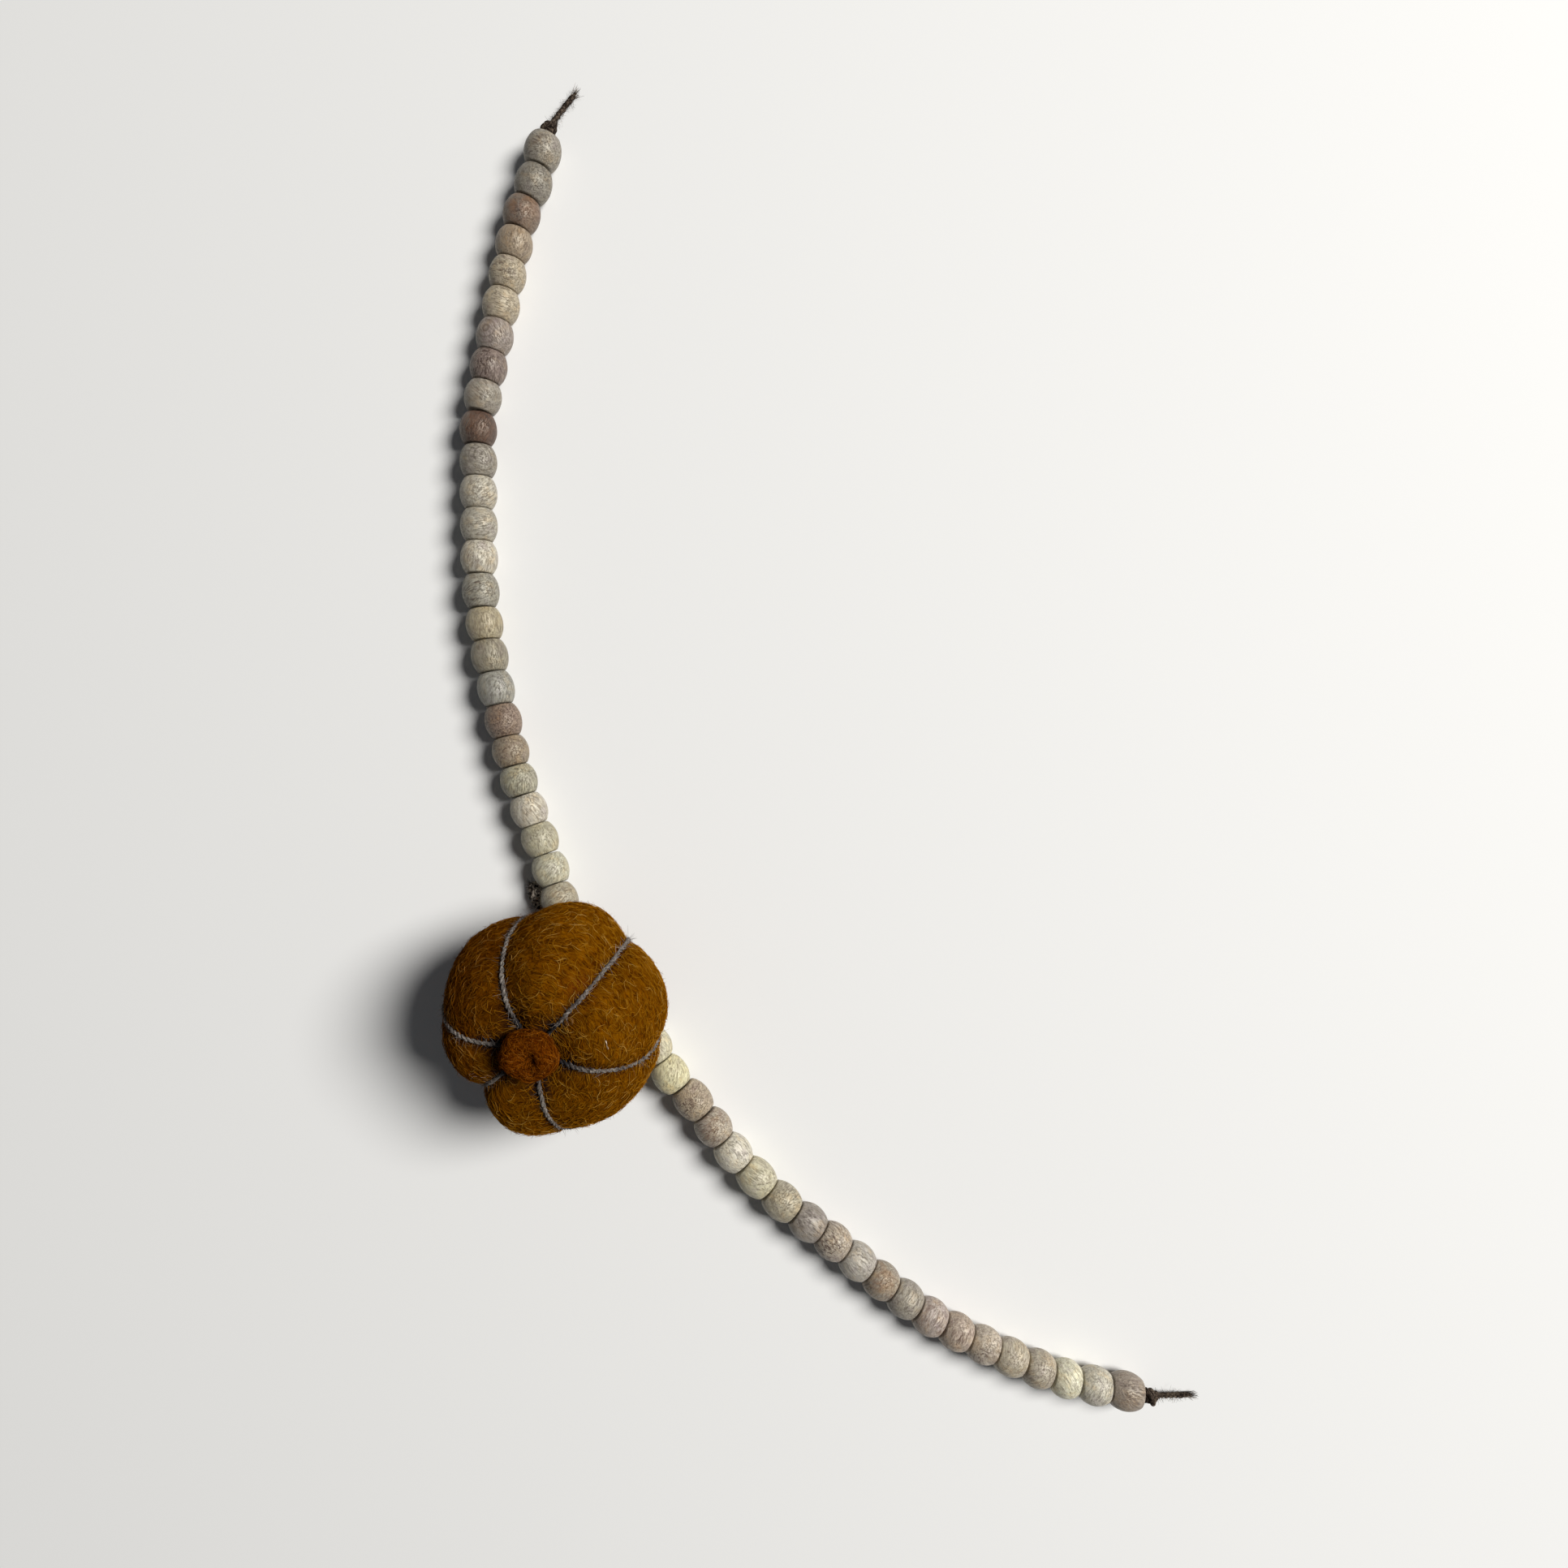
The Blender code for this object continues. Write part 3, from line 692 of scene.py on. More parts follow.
pumpkin = {
    "centre": (1.7, 11.7, 26.2),
    "axis": (-0.155, -0.245, 0.957),
    "radius": 34.0,
    "halfHeight": 28.7,
    "fullness": 0.85,
    "dimpleDepth": 0.317,
    "dimpleWidth": 0.42,
    "grooveWidth": 15.0,
    "grooveSoftness": 1.5,
    "grooveDrop": 0.8,
    "columns": 264,
    "rows": 120,
    "poleLatitude": 87.0,
    "lumps": ((17.0, 0.45), (6.0, 0.16), (2.4, 0.07)),
    "pressedBy": ("bead_lower_01", "bead_upper_01"),
    "beadRoom": 6.25,
    # painted shade in the hollows along the yarn and round the poles
    "hollowWidth": 1.7,
    "poleWidth": 14.0,
    "poleShade": 0.45,
    # painted shadow along the yarn, near black, wider and darker beside the stem
    "gapShadowWidth": 1.5,
    "gapShade": 0.5,
    "gapShadowReach": 12.0,
    "gapShadowFade": 2.4,
    "gapShadowFlare": 1.2,
    "shadowColour": (0.006, 0.007, 0.011),
    # painted shade: the felt and its fibres are darkened towards the upper left, the side away from the lamp
    "duskSide": (-0.95, 0.3, 0.0),
    "duskFrom": -3.0,
    "duskWidth": 34.0,
    "duskColour": (0.66, 0.56, 0.6),
    "blushPlace": (13.2, 26.0),
    "blushWidth": 3.2,
    "blushColour": (0.16, 0.016, 0.006),
    "seed": 5,
}

# yarn wraps: angle round the stem, depth of the groove, bulge of the lobe that follows
wraps = (
    (-11.5, 0.119, 0.0),
    (48.5, 0.095, 0.06),
    (108.2, 0.090, 0.02),
    (167.5, 0.050, 0.0),
    (220.1, 0.230, 0.03),
    (283.5, 0.085, -0.035),
)

pumpkinCentre = np.array(pumpkin["centre"])
pressingBeads = [beadPlace(name)[0] for name in pumpkin["pressedBy"]]
axisUp = unit(pumpkin["axis"])
axisFirst = unit((1.0, 0, 0) - axisUp * axisUp[0])
axisSecond = np.cross(axisUp, axisFirst)


def turnFrom(angle, degrees):
    # the shorter way round from a wrap's angle
    return (angle - math.radians(degrees) + math.pi) % fullTurn - math.pi


def drawnIn(angle, softness):
    # share of the full radius that is left at an angle round the stem
    share = np.ones_like(angle)
    for number, (degrees, depth, bulge) in enumerate(wraps):
        away = np.hypot(np.abs(turnFrom(angle, degrees)), math.radians(softness))
        share -= depth * np.exp(-away / math.radians(pumpkin["grooveWidth"]))
        span = math.radians((wraps[(number + 1) % len(wraps)][0] - degrees) % 360)
        across = ((angle - math.radians(degrees)) % fullTurn) / span
        share += np.where(across < 1, bulge * np.sin(math.pi * np.minimum(across, 1)) ** 2, 0)
    return share


def feltPoint(latitude, angle, softness=pumpkin["grooveSoftness"]):
    p = pumpkin
    share = drawnIn(angle, softness)
    radius = p["radius"] * np.cos(latitude) ** p["fullness"] * share
    dimple = p["dimpleDepth"] * bell(np.cos(latitude) / p["dimpleWidth"])
    height = p["halfHeight"] * np.sin(latitude) * (1 - dimple) * (1 - (1 - share) * p["grooveDrop"])
    outwards = around(axisFirst, axisSecond, angle)
    return pumpkinCentre + outwards * radius[..., None] + axisUp * height[..., None]


def pressedFelt(latitude, angle):
    # felt surface with its lumps, flat on the floor and pressed in by the beads beside it
    p = pumpkin
    points = lumpy(feltPoint(latitude, angle), pumpkinCentre, p["lumps"], p["seed"])
    for bead in pressingBeads:
        gap = points - bead
        distance = np.linalg.norm(gap, axis=-1, keepdims=True)
        pressed = bead + gap / np.maximum(distance, 1e-6) * p["beadRoom"]
        points = np.where(distance < p["beadRoom"], pressed, points)
    return keepAbove(points, 0)


# painted shade: how far a point lies towards the side away from the lamp, softly from 0 to 1
def duskAt(points):
    p = pumpkin
    share = ((points - pumpkinCentre) @ unit(p["duskSide"]) - p["duskFrom"]) / p["duskWidth"]
    share = np.clip(share, 0, 1)
    return share ** 2 * (3 - 2 * share)


# felt: colours of dark pits, plain felt, pale felt and matted fibres, and of darker patches, which also
# colour the painted shade in the hollows
feltTones = {
    "ochreFelt": ((0.050, 0.011, 0.0004), (0.190, 0.056, 0.0006), (0.255, 0.088, 0.001),
                  (0.275, 0.104, 0.0015), (0.040, 0.009, 0.0004)),
    "orangeFelt": ((0.028, 0.0045, 0.0004), (0.115, 0.022, 0.0005), (0.185, 0.041, 0.0008),
                   (0.20, 0.050, 0.0012), (0.014, 0.0025, 0.0004)),
}

feltLook = {
    "bend": (170.0, 1.0),
    "swirl": 3.2,
    # matted fibres in four directions: fineness and turn, both in the felt's flow
    "mats": (((0.42, 2.6, 2.6), 0.15), ((0.42, 2.6, 2.6), -0.35),
             ((0.5, 3.0, 3.0), 0.75), ((0.5, 3.0, 3.0), -1.1)),
    "matNoise": (3.0, 0.6, 0.4),
    "matFade": (0.50, 0.68),
    "spots": (540.0, 4.0, 0.62, 0.9),
    "strands": ((0.32, 1.0, 1.0), 4.0, 0.62, 0.9),
    "mottleStops": (0.43, 0.50, 0.57),
    "cloud": (85.0, 4.0, 0.6, 0.5),
    "cloudFade": (0.49, 0.68),
    "shares": {"spots": 0.4, "strands": 0.6, "mats": 0.55, "cloud": 0.5, "patches": 0.85,
               "blush": 0.4, "gap": 0.95},
    "relief": {"mottle": 1.2, "strength": 0.9, "depth": 0.4},
}


def makeFelt(name):
    material, tree = newMaterial(name)
    look = feltLook
    share = look["shares"]
    pit, plain, pale, matted, patchAndShadeColour = feltTones[name]
    place = objectPlace(tree)
    scale, detail = look["bend"]
    bend = addNode(tree, "TexNoise", {"Vector": place, "Scale": scale, "Detail": detail}).outputs["Color"]
    swirl = {0: bend, 1: (look["swirl"],) * 3, 2: readAttribute(tree, "flow", "Vector")}
    bent = addNode(tree, "VectorMath", swirl, operation="MULTIPLY_ADD").outputs["Vector"]
    woven = 0.0
    for fineness, turn in look["mats"]:
        layer = noise(tree, bent, fineness, *look["matNoise"], turn)
        woven = sums(tree, "MAXIMUM", woven, fade(tree, layer, *look["matFade"]))
    spots = noise(tree, place, *look["spots"])
    strands = noise(tree, bent, *look["strands"])
    mottle = sums(tree, "ADD", times(tree, spots, share["spots"]), times(tree, strands, share["strands"]))
    cloud = fade(tree, noise(tree, place, *look["cloud"]), *look["cloudFade"])
    # real darker patches, plus painted shade in the hollows along the yarn, round the poles and in the stem's
    # dent and foot
    patchesAndShade = sums(tree, "ADD", times(tree, cloud, share["cloud"]), readAttribute(tree, "hollow"))
    blush = times(tree, readAttribute(tree, "blush"), share["blush"])
    # painted shadow along the yarn, near black
    gap = sums(tree, "MINIMUM", readAttribute(tree, "gap"), share["gap"])

    colour = ramp(tree, mottle, tuple(zip(look["mottleStops"], (pit, plain, pale))))
    colour = mixed(tree, times(tree, woven, share["mats"]), colour, matted)
    colour = mixed(tree, sums(tree, "MINIMUM", patchesAndShade, share["patches"]), colour, patchAndShadeColour)
    # painted shade on the side away from the lamp
    colour = mixed(tree, readAttribute(tree, "dusk"), colour, pumpkin["duskColour"], "MULTIPLY")
    colour = mixed(tree, blush, colour, pumpkin["blushColour"])
    colour = mixed(tree, gap, colour, pumpkin["shadowColour"])
    depth = look["relief"]
    relief = sums(tree, "ADD", woven, times(tree, mottle, depth["mottle"]))
    coat(tree, colour, 1.0, 0.0, relief, depth["strength"], depth["depth"])
    return material


def nearestWrap(angle):
    # turn from the nearest wrap, without its direction
    return np.min([np.abs(turnFrom(angle, degrees)) for degrees, _, _ in wraps], axis=0)


def makePumpkin():
    p = pumpkin
    pole = math.radians(p["poleLatitude"])
    latitudes = np.linspace(-pole, pole, p["rows"])
    angles = np.arange(p["columns"]) * fullTurn / p["columns"] + math.radians(wraps[0][0])
    latitude, angle = np.meshgrid(latitudes, angles, indexing="ij")
    points = withPoles(pressedFelt(latitude, angle))
    triangles = skin(p["rows"], p["columns"])
    piece = meshOf("feltBall", points, triangles, makeFelt("ochreFelt"))
    # lengths along and across the lobes, and how far each point is from the yarn
    across = np.cos(latitude) ** p["fullness"] * p["radius"]
    flow = np.stack([(angle - angles[0]) * across, latitude * p["halfHeight"], np.zeros_like(angle)], axis=-1)
    fromYarn = nearestWrap(angle) * across
    fromAxis = np.maximum(np.cos(latitude), 0) * p["radius"]
    # painted shade in the hollows along the yarn and round the poles
    pit = bell(fromAxis / p["poleWidth"]) * p["poleShade"]
    hollow = np.maximum(np.exp(-fromYarn / p["hollowWidth"]), pit)
    # painted shadow along the yarn, wider and darker close to the stem
    beyond = np.maximum(fromAxis - p["gapShadowReach"], 0) / p["gapShadowFade"]
    closeness = np.where(latitude > 0, np.exp(-beyond), 0)
    gap = bell(fromYarn / (p["gapShadowWidth"] * (1 + p["gapShadowFlare"] * closeness)))
    gap = gap * (p["gapShade"] + (1 - p["gapShade"]) * closeness)
    blush = bell(np.linalg.norm(points[:, :2] - p["blushPlace"], axis=1) / p["blushWidth"])
    setAttributes(piece, flow=withPoles(flow), hollow=withPoles(hollow), gap=withPoles(gap),
                  dusk=duskAt(points), blush=np.where(points[:, 2] > p["centre"][2], blush, 0))
    finishPiece(piece, "felt", "pumpkin")
    print("pumpkin made")
    return BVHTree.FromPolygons(points.tolist(), triangles.tolist())


# wool fibres that lie and curl on the felt
# each kind: count, length, lift of the middle and of the end, thickness, tone, curl, share that runs across
feltFibres = {
    "feltHairs1": (4700, (1.5, 5.0), (0.0, 0.2), (0.0, 0.2), (0.055, 0.09), (0.0, 0.6), 0.9, 0.75),
    "feltHairs2": (4700, (1.5, 5.5), (0.02, 0.3), (0.0, 0.3), (0.055, 0.085), (0.3, 0.85), 1.1, 0.6),
    "feltHairs3": (2300, (2.5, 6.5), (0.1, 0.5), (0.0, 0.7), (0.055, 0.085), (0.55, 1.0), 1.8, 0.4),
    "feltFuzz": (1900, (1.2, 3.2), (0.1, 0.5), (0.4, 1.4), (0.03, 0.05), (0.1, 0.8), 2.0, 0.3),
}

fibreMake = {
    "steps": 6,
    "sides": 3,
    "clearance": 0.03,
    "lowest": 0.1,
    "latitudes": (-58, 80),  # of the pumpkin's fibres
    "acrossSpread": 0.35,  # radians
    "otherSpread": 2.0,
    "waves": 1.1,
    "taper": 0.75,
    "looseCurl": 0.35,
    "looseKink": (5, 0.12),
    "looseTaper": 0.6,
    "seed": 23,
}

# fibres: their colours by tone, and their shine
hairTones = {
    "ochreHairs": (((0.0, (0.090, 0.023, 0.0005)), (0.45, (0.225, 0.076, 0.001)),
                    (0.8, (0.34, 0.148, 0.008)), (1.0, (0.47, 0.265, 0.06))), 0.0),
    "orangeHairs": (((0.0, (0.045, 0.008, 0.0005)), (0.45, (0.145, 0.033, 0.001)),
                     (0.8, (0.29, 0.088, 0.004)), (1.0, (0.43, 0.18, 0.035))), 0.0),
    "yarnHairs": (((0.0, (0.06, 0.05, 0.045)), (0.6, (0.20, 0.17, 0.15)), (1.0, (0.42, 0.36, 0.32))), 0.1),
    "strayWool": (((0.0, (0.02, 0.012, 0.02)), (0.3, (0.28, 0.13, 0.03)),
                   (0.7, (0.36, 0.20, 0.15)), (1.0, (0.66, 0.56, 0.42))), 0.1),
    "twineHairs": (((0.0, (0.010, 0.007, 0.006)), (0.6, (0.06, 0.042, 0.03)),
                    (1.0, (0.32, 0.25, 0.18))), 0.1),
}

hairLook = {
    "noise": (700.0, 2.0, 0.5, 0.0),
    "uneven": 0.25,
    "roughness": 0.8,
}


def makeHair(name):
    material, tree = newMaterial(name)
    stops, gloss = hairTones[name]
    uneven = sums(tree, "SUBTRACT", noise(tree, objectPlace(tree), *hairLook["noise"]), 0.5)
    tone = sums(tree, "ADD", readAttribute(tree, "tone"), times(tree, uneven, hairLook["uneven"]))
    colour = ramp(tree, tone, stops)
    # painted shade: fibres on the pumpkin darken towards the side away from the lamp, like its felt
    colour = mixed(tree, readAttribute(tree, "dusk"), colour, pumpkin["duskColour"], "MULTIPLY")
    coat(tree, colour, hairLook["roughness"], gloss)
    return material


def laidFibres(dice, kind, pointAt, steps, starts, metric):
    # fibres that wander over a surface given by two numbers, read step by step
    # steps are small steps of both numbers, and metric is how many mm one of each makes
    f = fibreMake
    count, lengths, middles, ends, thickness, tones, curl, acrossShare = kind
    first, second = starts
    length = dice.uniform(*lengths, count)
    runsAcross = dice.random(count) < acrossShare
    across = dice.normal(0, f["acrossSpread"], count)
    heading = np.where(runsAcross, across, dice.uniform(-f["otherSpread"], f["otherSpread"], count))
    heading += np.where(dice.random(count) < 0.5, 0, math.pi)
    bend = dice.normal(0, curl / 6, count)
    wave = dice.uniform(0.1, curl / 2.5, count)
    phase = dice.uniform(0, fullTurn, count)
    step = length / (f["steps"] - 1)
    places = []
    for k in range(f["steps"]):
        places.append((first, second))
        direction = heading + bend * step * k + wave * np.sin(phase + step * k * f["waves"])
        alongFirst, alongSecond = metric(first, second)
        first = first + step * np.sin(direction) / alongFirst
        second = second + step * np.cos(direction) / alongSecond
    first, second = (np.stack(values, axis=1) for values in zip(*places))
    firstStep, secondStep = steps
    east = pointAt(first, second + secondStep) - pointAt(first, second - secondStep)
    north = pointAt(first + firstStep, second) - pointAt(first - firstStep, second)
    normals = unit(np.cross(east, north))
    share = np.linspace(0, 1, f["steps"])[None]
    middle = dice.uniform(*middles, count)[:, None]
    end = dice.uniform(*ends, count)[:, None]
    lift = f["clearance"] + middle * np.sin(math.pi * share) + end * share ** 3
    paths = keepAbove(pointAt(first, second) + normals * lift[..., None], f["lowest"])
    radii = dice.uniform(*thickness, count)[:, None] * (1 - f["taper"] * np.abs(share * 2 - 1) ** 3)
    return paths, radii, dice.uniform(*tones, count)


def makeFibres(name, paths, radii, tones, material, slotName):
    points, triangles = tubes(paths, radii, fibreMake["sides"])
    piece = meshOf(name, points, triangles, material)
    setAttributes(piece, tone=np.repeat(tones, len(points) // len(paths)))
    finishPiece(piece, slotName)
    return piece, points


def pumpkinMetric(latitude, angle):
    p = pumpkin
    radius = p["radius"] * np.cos(latitude) ** p["fullness"] * drawnIn(angle, p["grooveSoftness"])
    return (p["radius"] + p["halfHeight"]) / 2, np.maximum(radius, 4.0)


def makePumpkinFibres():
    material = makeHair("ochreHairs")
    dice = np.random.default_rng(fibreMake["seed"])
    low, high = (math.sin(math.radians(degrees)) for degrees in fibreMake["latitudes"])
    for name, kind in feltFibres.items():
        latitude = np.arcsin(dice.uniform(low, high, kind[0]))
        angle = dice.uniform(-math.pi, math.pi, kind[0])
        laid = laidFibres(dice, kind, pressedFelt, (0.01, 0.01), (latitude, angle), pumpkinMetric)
        piece, points = makeFibres(name, *laid, material, "felt")
        setAttributes(piece, dusk=duskAt(points))
    print("fibres laid on the pumpkin")


# stray wool that catches the eye: a pale fleck, a loop, and tufts at the ends of two wraps
# each: place seen from above, spread, count, length, direction and bend in radians, tone, thickness
strays = {
    "fleck": ((20.6, 9.8), 0.12, 5, (2.8, 3.3), (1.75, 1.95), (-0.4, 0.1), (0.95, 1.0), 0.12),
    "loop": ((10.6, 15.6), 0.2, 4, (6.0, 7.5), (-0.4, 0.4), (5.2, 6.2), (0.25, 0.45), 0.06),
    "rimTuft": ((24.0, 35.6), 1.3, 26, (1.5, 4.0), (-3.1, 3.1), (-1.5, 1.5), (0.5, 1.0), 0.06),
    "darkTuft": ((-15.2, -3.2), 1.6, 34, (1.2, 3.4), (-3.1, 3.1), (-1.8, 1.8), (0.0, 0.8), 0.07),
}

strayMake = {
    "steps": 9,
    "lift": (0.2, 0.7),
    "taper": 0.6,
    "seed": 71,
}


def makeStrays(pumpkinSkin):
    dice = np.random.default_rng(strayMake["seed"])
    share = np.linspace(0, 1, strayMake["steps"])
    lowest, more = strayMake["lift"]
    laid = []
    for place, spread, count, lengths, headings, bends, toneRange, radius in strays.values():
        for _ in range(count):
            length = dice.uniform(*lengths)
            heading = dice.uniform(*headings) + share * dice.uniform(*bends)
            step = np.stack([np.cos(heading), np.sin(heading)], axis=-1) * length / len(share)
            flat = np.cumsum(step, axis=0) - step.sum(axis=0) / 2
            flat = flat + np.array(place) + dice.normal(0, spread, 2)
            lift = lowest + dice.uniform(0.0, more) * share ** 2
            hits = [pumpkinSkin.ray_cast(Vector((x, y, 200.0)), Vector((0, 0, -1)))[0] for x, y in flat]
            if all(hits):
                path = [(hit.x, hit.y, hit.z + rise) for hit, rise in zip(hits, lift)]
                thick = radius * (1 - strayMake["taper"] * np.abs(share * 2 - 1) ** 3)
                laid.append((path, thick, dice.uniform(*toneRange)))
    paths, radii, tones = (np.array(values) for values in zip(*laid))
    makeFibres("strayWool", paths, radii, tones, makeHair("strayWool"), "felt")
    print("stray fibres laid:", len(paths))


# stem: a squat felt knob with a dent in its top

stem = {
    "offset": (1.4, 1.5, 0.0),
    "base": 22.35,
    "middle": 2.5,
    "profile": ((0.6, -0.9), (4.0, -0.8), (7.0, 0.0), (8.0, 1.8), (7.8, 3.7), (6.8, 5.3), (5.0, 6.25),
                (3.2, 6.1), (1.6, 5.4), (0.3, 5.15)),
    "profileSteps": 160,
    "lumps": ((9.0, 0.30), (3.2, 0.12)),
    "oval": 0.88,
    "corners": 5,
    "cornerShare": 0.04,
    "cornerTurn": 2.7,
    "rows": 60,
    "columns": 90,
    "dent": {"place": (2.0, -0.2), "width": 1.5, "height": 3.4, "depth": 1.1},
    "dentShade": 0.95,
    "footWidth": 0.16,
    "footShade": 0.8,
    "flow": (5.0, 22.0),  # mm round and up, for the felt's pattern
    "metric": (22.0, 6.0),  # mm up and round, for the fibres
    "seed": 9,
    "fibreSeed": 31,
}

# the same columns as for the pumpkin's fibres
stemFibres = {
    "stemHairs": (1400, (1.5, 5.0), (0.0, 0.3), (0.0, 0.35), (0.06, 0.09), (0.0, 0.9), 1.6, 0.4),
    "stemFuzz": (420, (1.0, 2.6), (0.1, 0.4), (0.3, 1.1), (0.03, 0.05), (0.1, 0.8), 2.0, 0.3),
}


def stemSection(share, turn):
    # place across the stem, height, and how deep in the dent of its top
    s = stem
    profile = smoothPath([(radius, height, 0) for radius, height in s["profile"]], s["profileSteps"])[0]
    at = np.clip(share, 0, 1) * (len(profile) - 1)
    radius = np.interp(at, np.arange(len(profile)), profile[:, 0])
    height = np.interp(at, np.arange(len(profile)), profile[:, 1])
    radius = radius * (1 + s["cornerShare"] * np.sin(s["corners"] * turn + s["cornerTurn"]))
    x = radius * np.cos(turn)
    y = radius * np.sin(turn) * s["oval"]
    dent = s["dent"]
    away = np.hypot((x - dent["place"][0]) / dent["width"], (y - dent["place"][1]) / dent["height"])
    return x, y, height, np.where(share > 0.5, bell(away), 0)


def stemPoint(share, turn):
    s = stem
    x, y, height, dented = stemSection(share, turn)
    height = height - dented * s["dent"]["depth"]
    foot = pumpkinCentre + axisUp * s["base"] + np.array(s["offset"])
    points = foot + axisFirst * x[..., None] + axisSecond * y[..., None] + axisUp * height[..., None]
    return lumpy(points, foot + axisUp * s["middle"], s["lumps"], s["seed"])


def stemMetric(share, turn):
    return stem["metric"]


def makeStem():
    s = stem
    turns = np.arange(s["columns"]) * fullTurn / s["columns"]
    share, turn = np.meshgrid(np.linspace(0, 1, s["rows"]), turns, indexing="ij")
    points = withPoles(stemPoint(share, turn))
    piece = meshOf("feltStem", points, skin(s["rows"], s["columns"]), makeFelt("orangeFelt"))
    flowRound, flowUp = s["flow"]
    flow = np.stack([turn * flowRound, share * flowUp, np.zeros_like(turn)], axis=-1)
    # painted shade in the dent of the stem's top and round its foot
    dented = stemSection(share, turn)[3] * s["dentShade"]
    dark = np.maximum(dented, np.exp(-share / s["footWidth"]) * s["footShade"])
    setAttributes(piece, flow=withPoles(flow), hollow=withPoles(dark))
    finishPiece(piece, "felt", "stem")
    material = makeHair("orangeHairs")
    dice = np.random.default_rng(s["fibreSeed"])
    for name, kind in stemFibres.items():
        starts = dice.uniform(0.25, 0.95, kind[0]), dice.uniform(-math.pi, math.pi, kind[0])
        laid = laidFibres(dice, kind, stemPoint, (0.01, 0.04), starts, stemMetric)
        makeFibres(name, *laid, material, "felt")
    print("stem made")


# wool yarn in the grooves, two plies twisted together

yarn = {
    "radius": 0.7,
    "plies": 2,
    "ply": 0.38,
    "offset": 0.29,
    "pitch": 3.4,
    "sides": 6,
    "points": 24,
    "steps": 260,
    "grooveRoom": 0.3,
    "margin": 0.1,  # over the floor
    "sink": 0.45,
    "liftLimit": 3.6,
    "clearance": 0.7,
    "stemRadius": 8.1,
    "bottomRadius": 4.2,
    "underStem": 3.0,
    "sway": (7.0, 0.15),
    "dip": (9.0, 0.22),
    "fuzz": (280, (0.8, 3.0), 0.6, 0.05, 0.49),
    # painted shade: the yarn is darkened where it dips in under the stem's edge, up to these lengths
    "shadeUntil": (5.0, 5.8, 5.2, 3.6, 6.8, 3.6),
    "shadeFade": 2.0,
    "shadeStrength": 0.9,
    "seed": 41,
}

# spun fibre: dark, middle and pale colour, where on the noise each lies, fineness
spunTones = {
    "greyYarn": ((0.045, 0.039, 0.036), (0.158, 0.137, 0.120), (0.31, 0.275, 0.24),
                 (0.36, 0.50, 0.62), 2000.0),
    "darkTwine": ((0.008, 0.006, 0.005), (0.042, 0.029, 0.021), (0.20, 0.155, 0.115),
                  (0.36, 0.50, 0.62), 1500.0),
    "speckledTwine": ((0.010, 0.007, 0.006), (0.10, 0.078, 0.060), (0.85, 0.76, 0.62),
                      (0.42, 0.48, 0.56), 1100.0),
}

spunLook = {
    "slant": 0.5,
    "hairs": (4.0, 0.65, 1.2),
    "cloud": (210.0, 2.0, 0.5, 0.3),
    "shades": ((0.40, (0.50, 0.48, 0.50)), (0.58, (1.0, 1.0, 1.0))),
    "shadeShare": 0.8,
    "roughness": 0.92,
    "gloss": 0.1,
    "relief": (0.8, 0.25),
}


def makeSpun(name):
    # fine slanting hairs and a soft change of tone
    material, tree = newMaterial(name)
    look = spunLook
    *colours, stops, size = spunTones[name]
    place = objectPlace(tree)
    hairs = noise(tree, place, (size, size * look["slant"], size), *look["hairs"])
    shades = ramp(tree, noise(tree, place, *look["cloud"]), look["shades"])
    colour = ramp(tree, hairs, tuple(zip(stops, colours)))
    colour = mixed(tree, look["shadeShare"], colour, shades, "MULTIPLY")
    # painted shade from the depth attribute, where the yarn dips in under the stem's edge
    colour = mixed(tree, readAttribute(tree, "depth"), colour, pumpkin["shadowColour"])
    coat(tree, colour, look["roughness"], look["gloss"], hairs, *look["relief"])
    return material


def latitudeAt(radius, share):
    return math.acos((radius / share / pumpkin["radius"]) ** (1 / pumpkin["fullness"]))


def grooveLift(latitude, share):
    # height of the yarn's middle over the bottom of the sharp groove
    p = pumpkin
    radius = p["radius"] * math.cos(latitude) ** p["fullness"]
    dimple = p["dimpleDepth"] * bell(math.cos(latitude) / p["dimpleWidth"])
    height = p["halfHeight"] * math.sin(latitude) * (1 - dimple)
    depth = (1 - share) * math.hypot(radius, height * p["grooveDrop"])
    halfWidth = math.radians(p["grooveWidth"]) * radius * share
    lift = (yarn["radius"] + yarn["grooveRoom"]) * math.hypot(depth, halfWidth) / halfWidth
    return min(lift, yarn["liftLimit"]) - yarn["sink"]


def wrapPath(degrees):
    # from under the stem's edge down the groove to the middle of the underside
    y = yarn
    angle = np.array([math.radians(degrees)])
    share = float(drawnIn(angle, 0.0)[0])
    outwards = around(axisFirst, axisSecond, angle)[0]
    across = around(axisSecond, -axisFirst, angle)[0]
    stemRadius = y["stemRadius"] / math.hypot(math.cos(angle[0]), math.sin(angle[0]) / stem["oval"])
    stemEdge = stemRadius + stem["offset"] @ outwards + y["clearance"]
    top = latitudeAt(stemEdge - y["underStem"], share)
    low = -latitudeAt(y["bottomRadius"], share)
    points = []
    for latitude in np.linspace(top, low, y["points"]):
        here = feltPoint(np.array([latitude]), angle, 0.0)[0]
        near = feltPoint(np.array([latitude + 0.02]), angle, 0.0)[0]
        point = here + unit(np.cross(across, near - here)) * grooveLift(latitude, share)
        points.append(keepAbove(point, y["radius"] + y["margin"]))
    return smoothPath(points, y["steps"])


